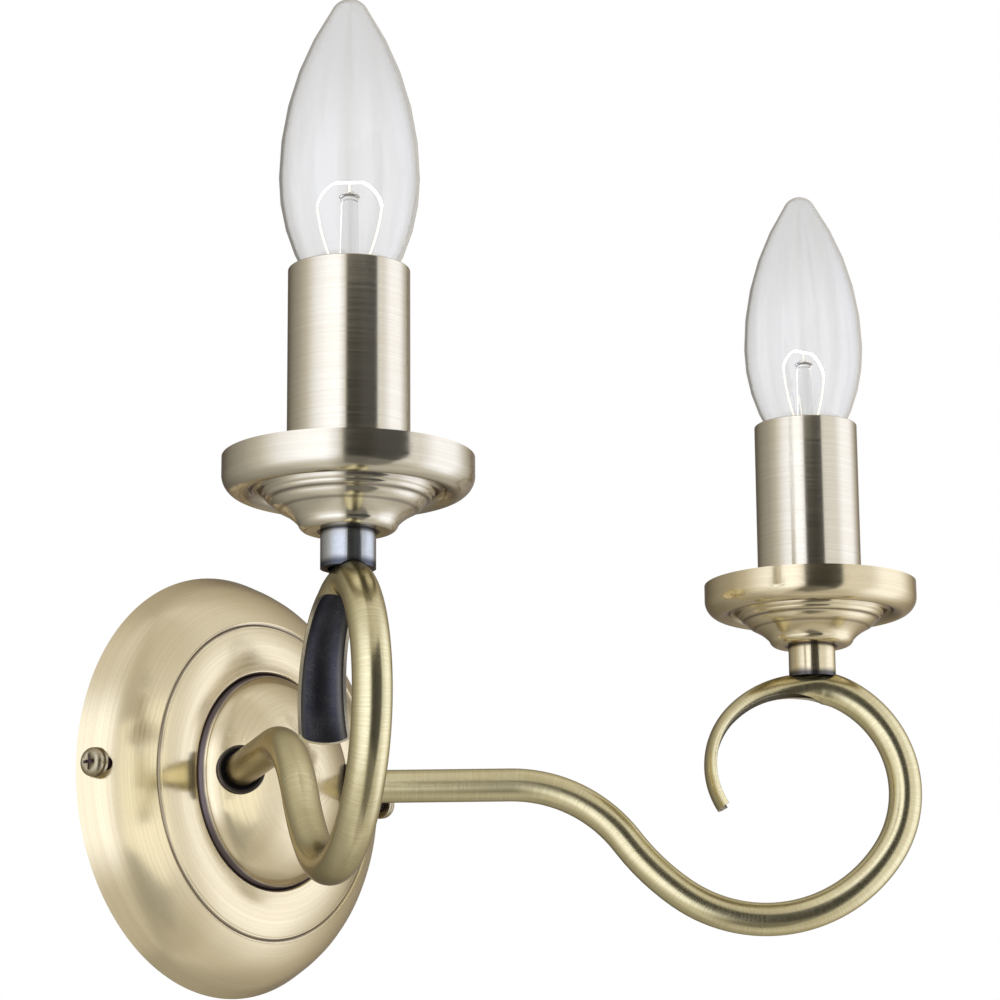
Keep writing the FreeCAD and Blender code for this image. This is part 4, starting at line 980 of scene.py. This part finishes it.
def tent_light():
    """Soft light that is bright at the sides and dim behind, above and below."""
    material = shine("tent_light", 1.0)
    tree = material.node_tree
    light = tree.nodes["Emission"]
    point = object_point(tree)
    parts = split(tree, point)
    compass = calc(tree, "DIVIDE", calc(tree, "ARCTAN2", parts[1], parts[0]), 2 * math.pi)
    levels = add(tree, "ShaderNodeValToRGB", {
        0: calc(tree, "FRACT", plus(tree, compass, 1.0))})
    stops = levels.color_ramp.elements
    while len(stops) < len(TENT):
        stops.new(0.5)
    for stop, (degrees, _) in zip(stops, TENT):     # before the colours: moving a stop sorts them
        stop.position = degrees / 360
    for stop, (_, level) in zip(stops, TENT):       # halved, as a stop holds no more than 1
        stop.color = (level / 2, level / 2, level / 2, 1)
    around = times(tree, levels.outputs[0], 2.0)
    slope = calc(tree, "ABSOLUTE", calc(tree, "DIVIDE", parts[2], size_of(tree, point)))
    away = ramp(tree, slope, 0.42, 0.82)
    height = ramp(tree, parts[2], -0.3, 0.3, 0.34, 0.50)
    level = plus(tree, times(tree, around, calc(tree, "SUBTRACT", 1.0, away)),
                 times(tree, plus(tree, height, times(tree, around, 0.27)), away))
    tint = blend_colours(tree, ramp(tree, level, 0.55, 1.35), (1.0, 0.95, 0.86),
                         (1.0, 1.02, 1.15))
    feed(tree, light, {"Color": tint, "Strength": level})
    # straight through a bulb the white background is seen, and in a mirrored bulb the tent
    path = add(tree, "ShaderNodeLightPath").outputs
    mirrored = calc(tree, "MINIMUM", path["Glossy Depth"], 1.0)
    straight = times(tree, path["Is Transmission Ray"], calc(tree, "SUBTRACT", 1.0, mirrored))
    seen = mixed_shader(tree, straight, light, add(tree, "ShaderNodeBsdfTransparent"))
    feed(tree, tree.nodes["Material Output"], {"Surface": seen.outputs[0]})
    return material


def only_reflected(context, name, material, bm):
    """A studio piece that shows only in what reflects it."""
    card = new_object(context, name, bm, material)
    for ray in ("camera", "diffuse", "shadow", "volume_scatter", "transmission"):
        setattr(card, f"visible_{ray}", False)
    return card


class SCONCE_OT_stage(bpy.types.Operator):
    """Set the camera, the white surroundings, the lamps, the light tent and the pale floor"""
    bl_idname = "sconce.stage"
    bl_label = "Camera and Studio"

    def execute(self, context):
        self.camera(context)
        self.world(context)
        self.floor(context)
        self.lamps(context)
        self.tent(context)
        context.scene.view_settings.view_transform = "Standard"
        return {"FINISHED"}

    def camera(self, context):
        lens = bpy.data.cameras.new("camera")
        lens.sensor_width = SENSOR
        lens.lens = LENS
        camera = bpy.data.objects.new("camera", lens)
        compass, tilt, roll = CAMERA_TURN
        turn = (Matrix.Rotation(math.radians(compass), 4, "Z")
                @ Matrix.Rotation(math.radians(90 + tilt), 4, "X")
                @ Matrix.Rotation(math.radians(roll), 4, "Z"))
        camera.matrix_world = Matrix.Translation(CAMERA_AT) @ turn
        context.scene.collection.objects.link(camera)
        context.scene.camera = camera

    def world(self, context):
        """White where it is seen, in glass and metal too, and dimmer as light."""
        world = bpy.data.worlds.new("studio")
        context.scene.world = world
        world.use_nodes = True
        tree = world.node_tree
        tree.nodes.clear()
        path = add(tree, "ShaderNodeLightPath").outputs
        seen = calc(tree, "ADD", plus(tree, path["Is Camera Ray"], path["Is Glossy Ray"]),
                    path["Is Transmission Ray"], clamp=True)
        strength = ramp(tree, seen, 0.0, 1.0, 0.55, 1.0, "LINEAR")
        sky = add(tree, "ShaderNodeBackground", {"Color": (1, 1, 1, 1), "Strength": strength})
        add(tree, "ShaderNodeOutputWorld", {"Surface": sky.outputs[0]})

    def floor(self, context):
        bm = bmesh.new()
        bmesh.ops.create_grid(bm, x_segments=1, y_segments=1, size=3.0,
                              matrix=Matrix.Translation((0, 0, FLOOR_LEVEL)))
        material, tree, shader = new_material("pale_floor")
        feed(tree, shader, {"Base Color": (0.93, 0.93, 0.92, 1), "Roughness": 0.9})
        floor = new_object(context, "floor", bm, material)

    def lamps(self, context):
        for name, at, energy, size in LAMPS:
            lamp = bpy.data.lights.new(name, "AREA")
            lamp.energy = energy
            lamp.size = size
            source = bpy.data.objects.new(name, lamp)
            turn = (-Vector(at)).to_track_quat("-Z", "Y").to_matrix().to_4x4()
            source.matrix_world = Matrix.Translation(at) @ turn
            source.visible_glossy = False
            context.scene.collection.objects.link(source)

    def tent(self, context):
        """A light tent that the metal and glass reflect, with a flag and a mat inside it that
        light the canopy and are dark to all the rest."""
        bm = bmesh.new()
        bmesh.ops.create_uvsphere(bm, u_segments=48, v_segments=24, radius=TENT_RADIUS)
        for vert in bm.verts:
            vert.co.z = max(vert.co.z, TENT_FOOT)
        tent = only_reflected(context, "light_tent", tent_light(), bm)
        tent.visible_transmission = True
        canopy_only = bpy.data.collections.new("lit_canopy")
        for name, level, far, rise, through in DARK:
            bm = bmesh.new()
            ends = [bm.verts.new((*post, POST_FOOT)) for post in POSTS]
            edges = [bm.edges.new(pair) for pair in zip(ends, ends[1:])]
            for vert in verts_of(bmesh.ops.extrude_edge_only(bm, edges=edges)["geom"]):
                vert.co = (vert.co.x * far[0], vert.co.y * far[1], vert.co.z + rise)
            light = shine(name, level, DARK_COLOUR, through)
            dark = only_reflected(context, name, light, bm)
            dark.light_linking.receiver_collection = canopy_only


# ---------------------------------------------------------------- add-on

OPERATORS = (SCONCE_OT_stage, SCONCE_OT_canopy, SCONCE_OT_arms, SCONCE_OT_collars,
             SCONCE_OT_pans, SCONCE_OT_sleeves, SCONCE_OT_bulbs, SCONCE_OT_fixings)


class SCONCE_PT_panel(bpy.types.Panel):
    """Sizes, finishes and pieces of the wall light"""
    bl_idname = "SCONCE_PT_panel"
    bl_label = "Wall Light"
    bl_space_type = "VIEW_3D"
    bl_region_type = "UI"
    bl_category = "Wall Light"

    def draw(self, context):
        layout = self.layout
        for group in (context.scene.sconce_sizes, context.scene.sconce_finish):
            box = layout.box()
            for name in group.__annotations__:
                box.prop(group, name)
        for operator in OPERATORS:
            layout.operator(operator.bl_idname)


CLASSES = (SconceSizes, SconceFinish, *OPERATORS, SCONCE_PT_panel)


def register():
    for cls in CLASSES:
        bpy.utils.register_class(cls)
    bpy.types.Scene.sconce_sizes = PointerProperty(type=SconceSizes)
    bpy.types.Scene.sconce_finish = PointerProperty(type=SconceFinish)


def unregister():
    del bpy.types.Scene.sconce_finish
    del bpy.types.Scene.sconce_sizes
    for cls in reversed(CLASSES):
        bpy.utils.unregister_class(cls)


def main():
    register()
    for operator in OPERATORS:
        getattr(bpy.ops.sconce, operator.bl_idname.removeprefix("sconce."))()


if __name__ == "__main__":
    main()
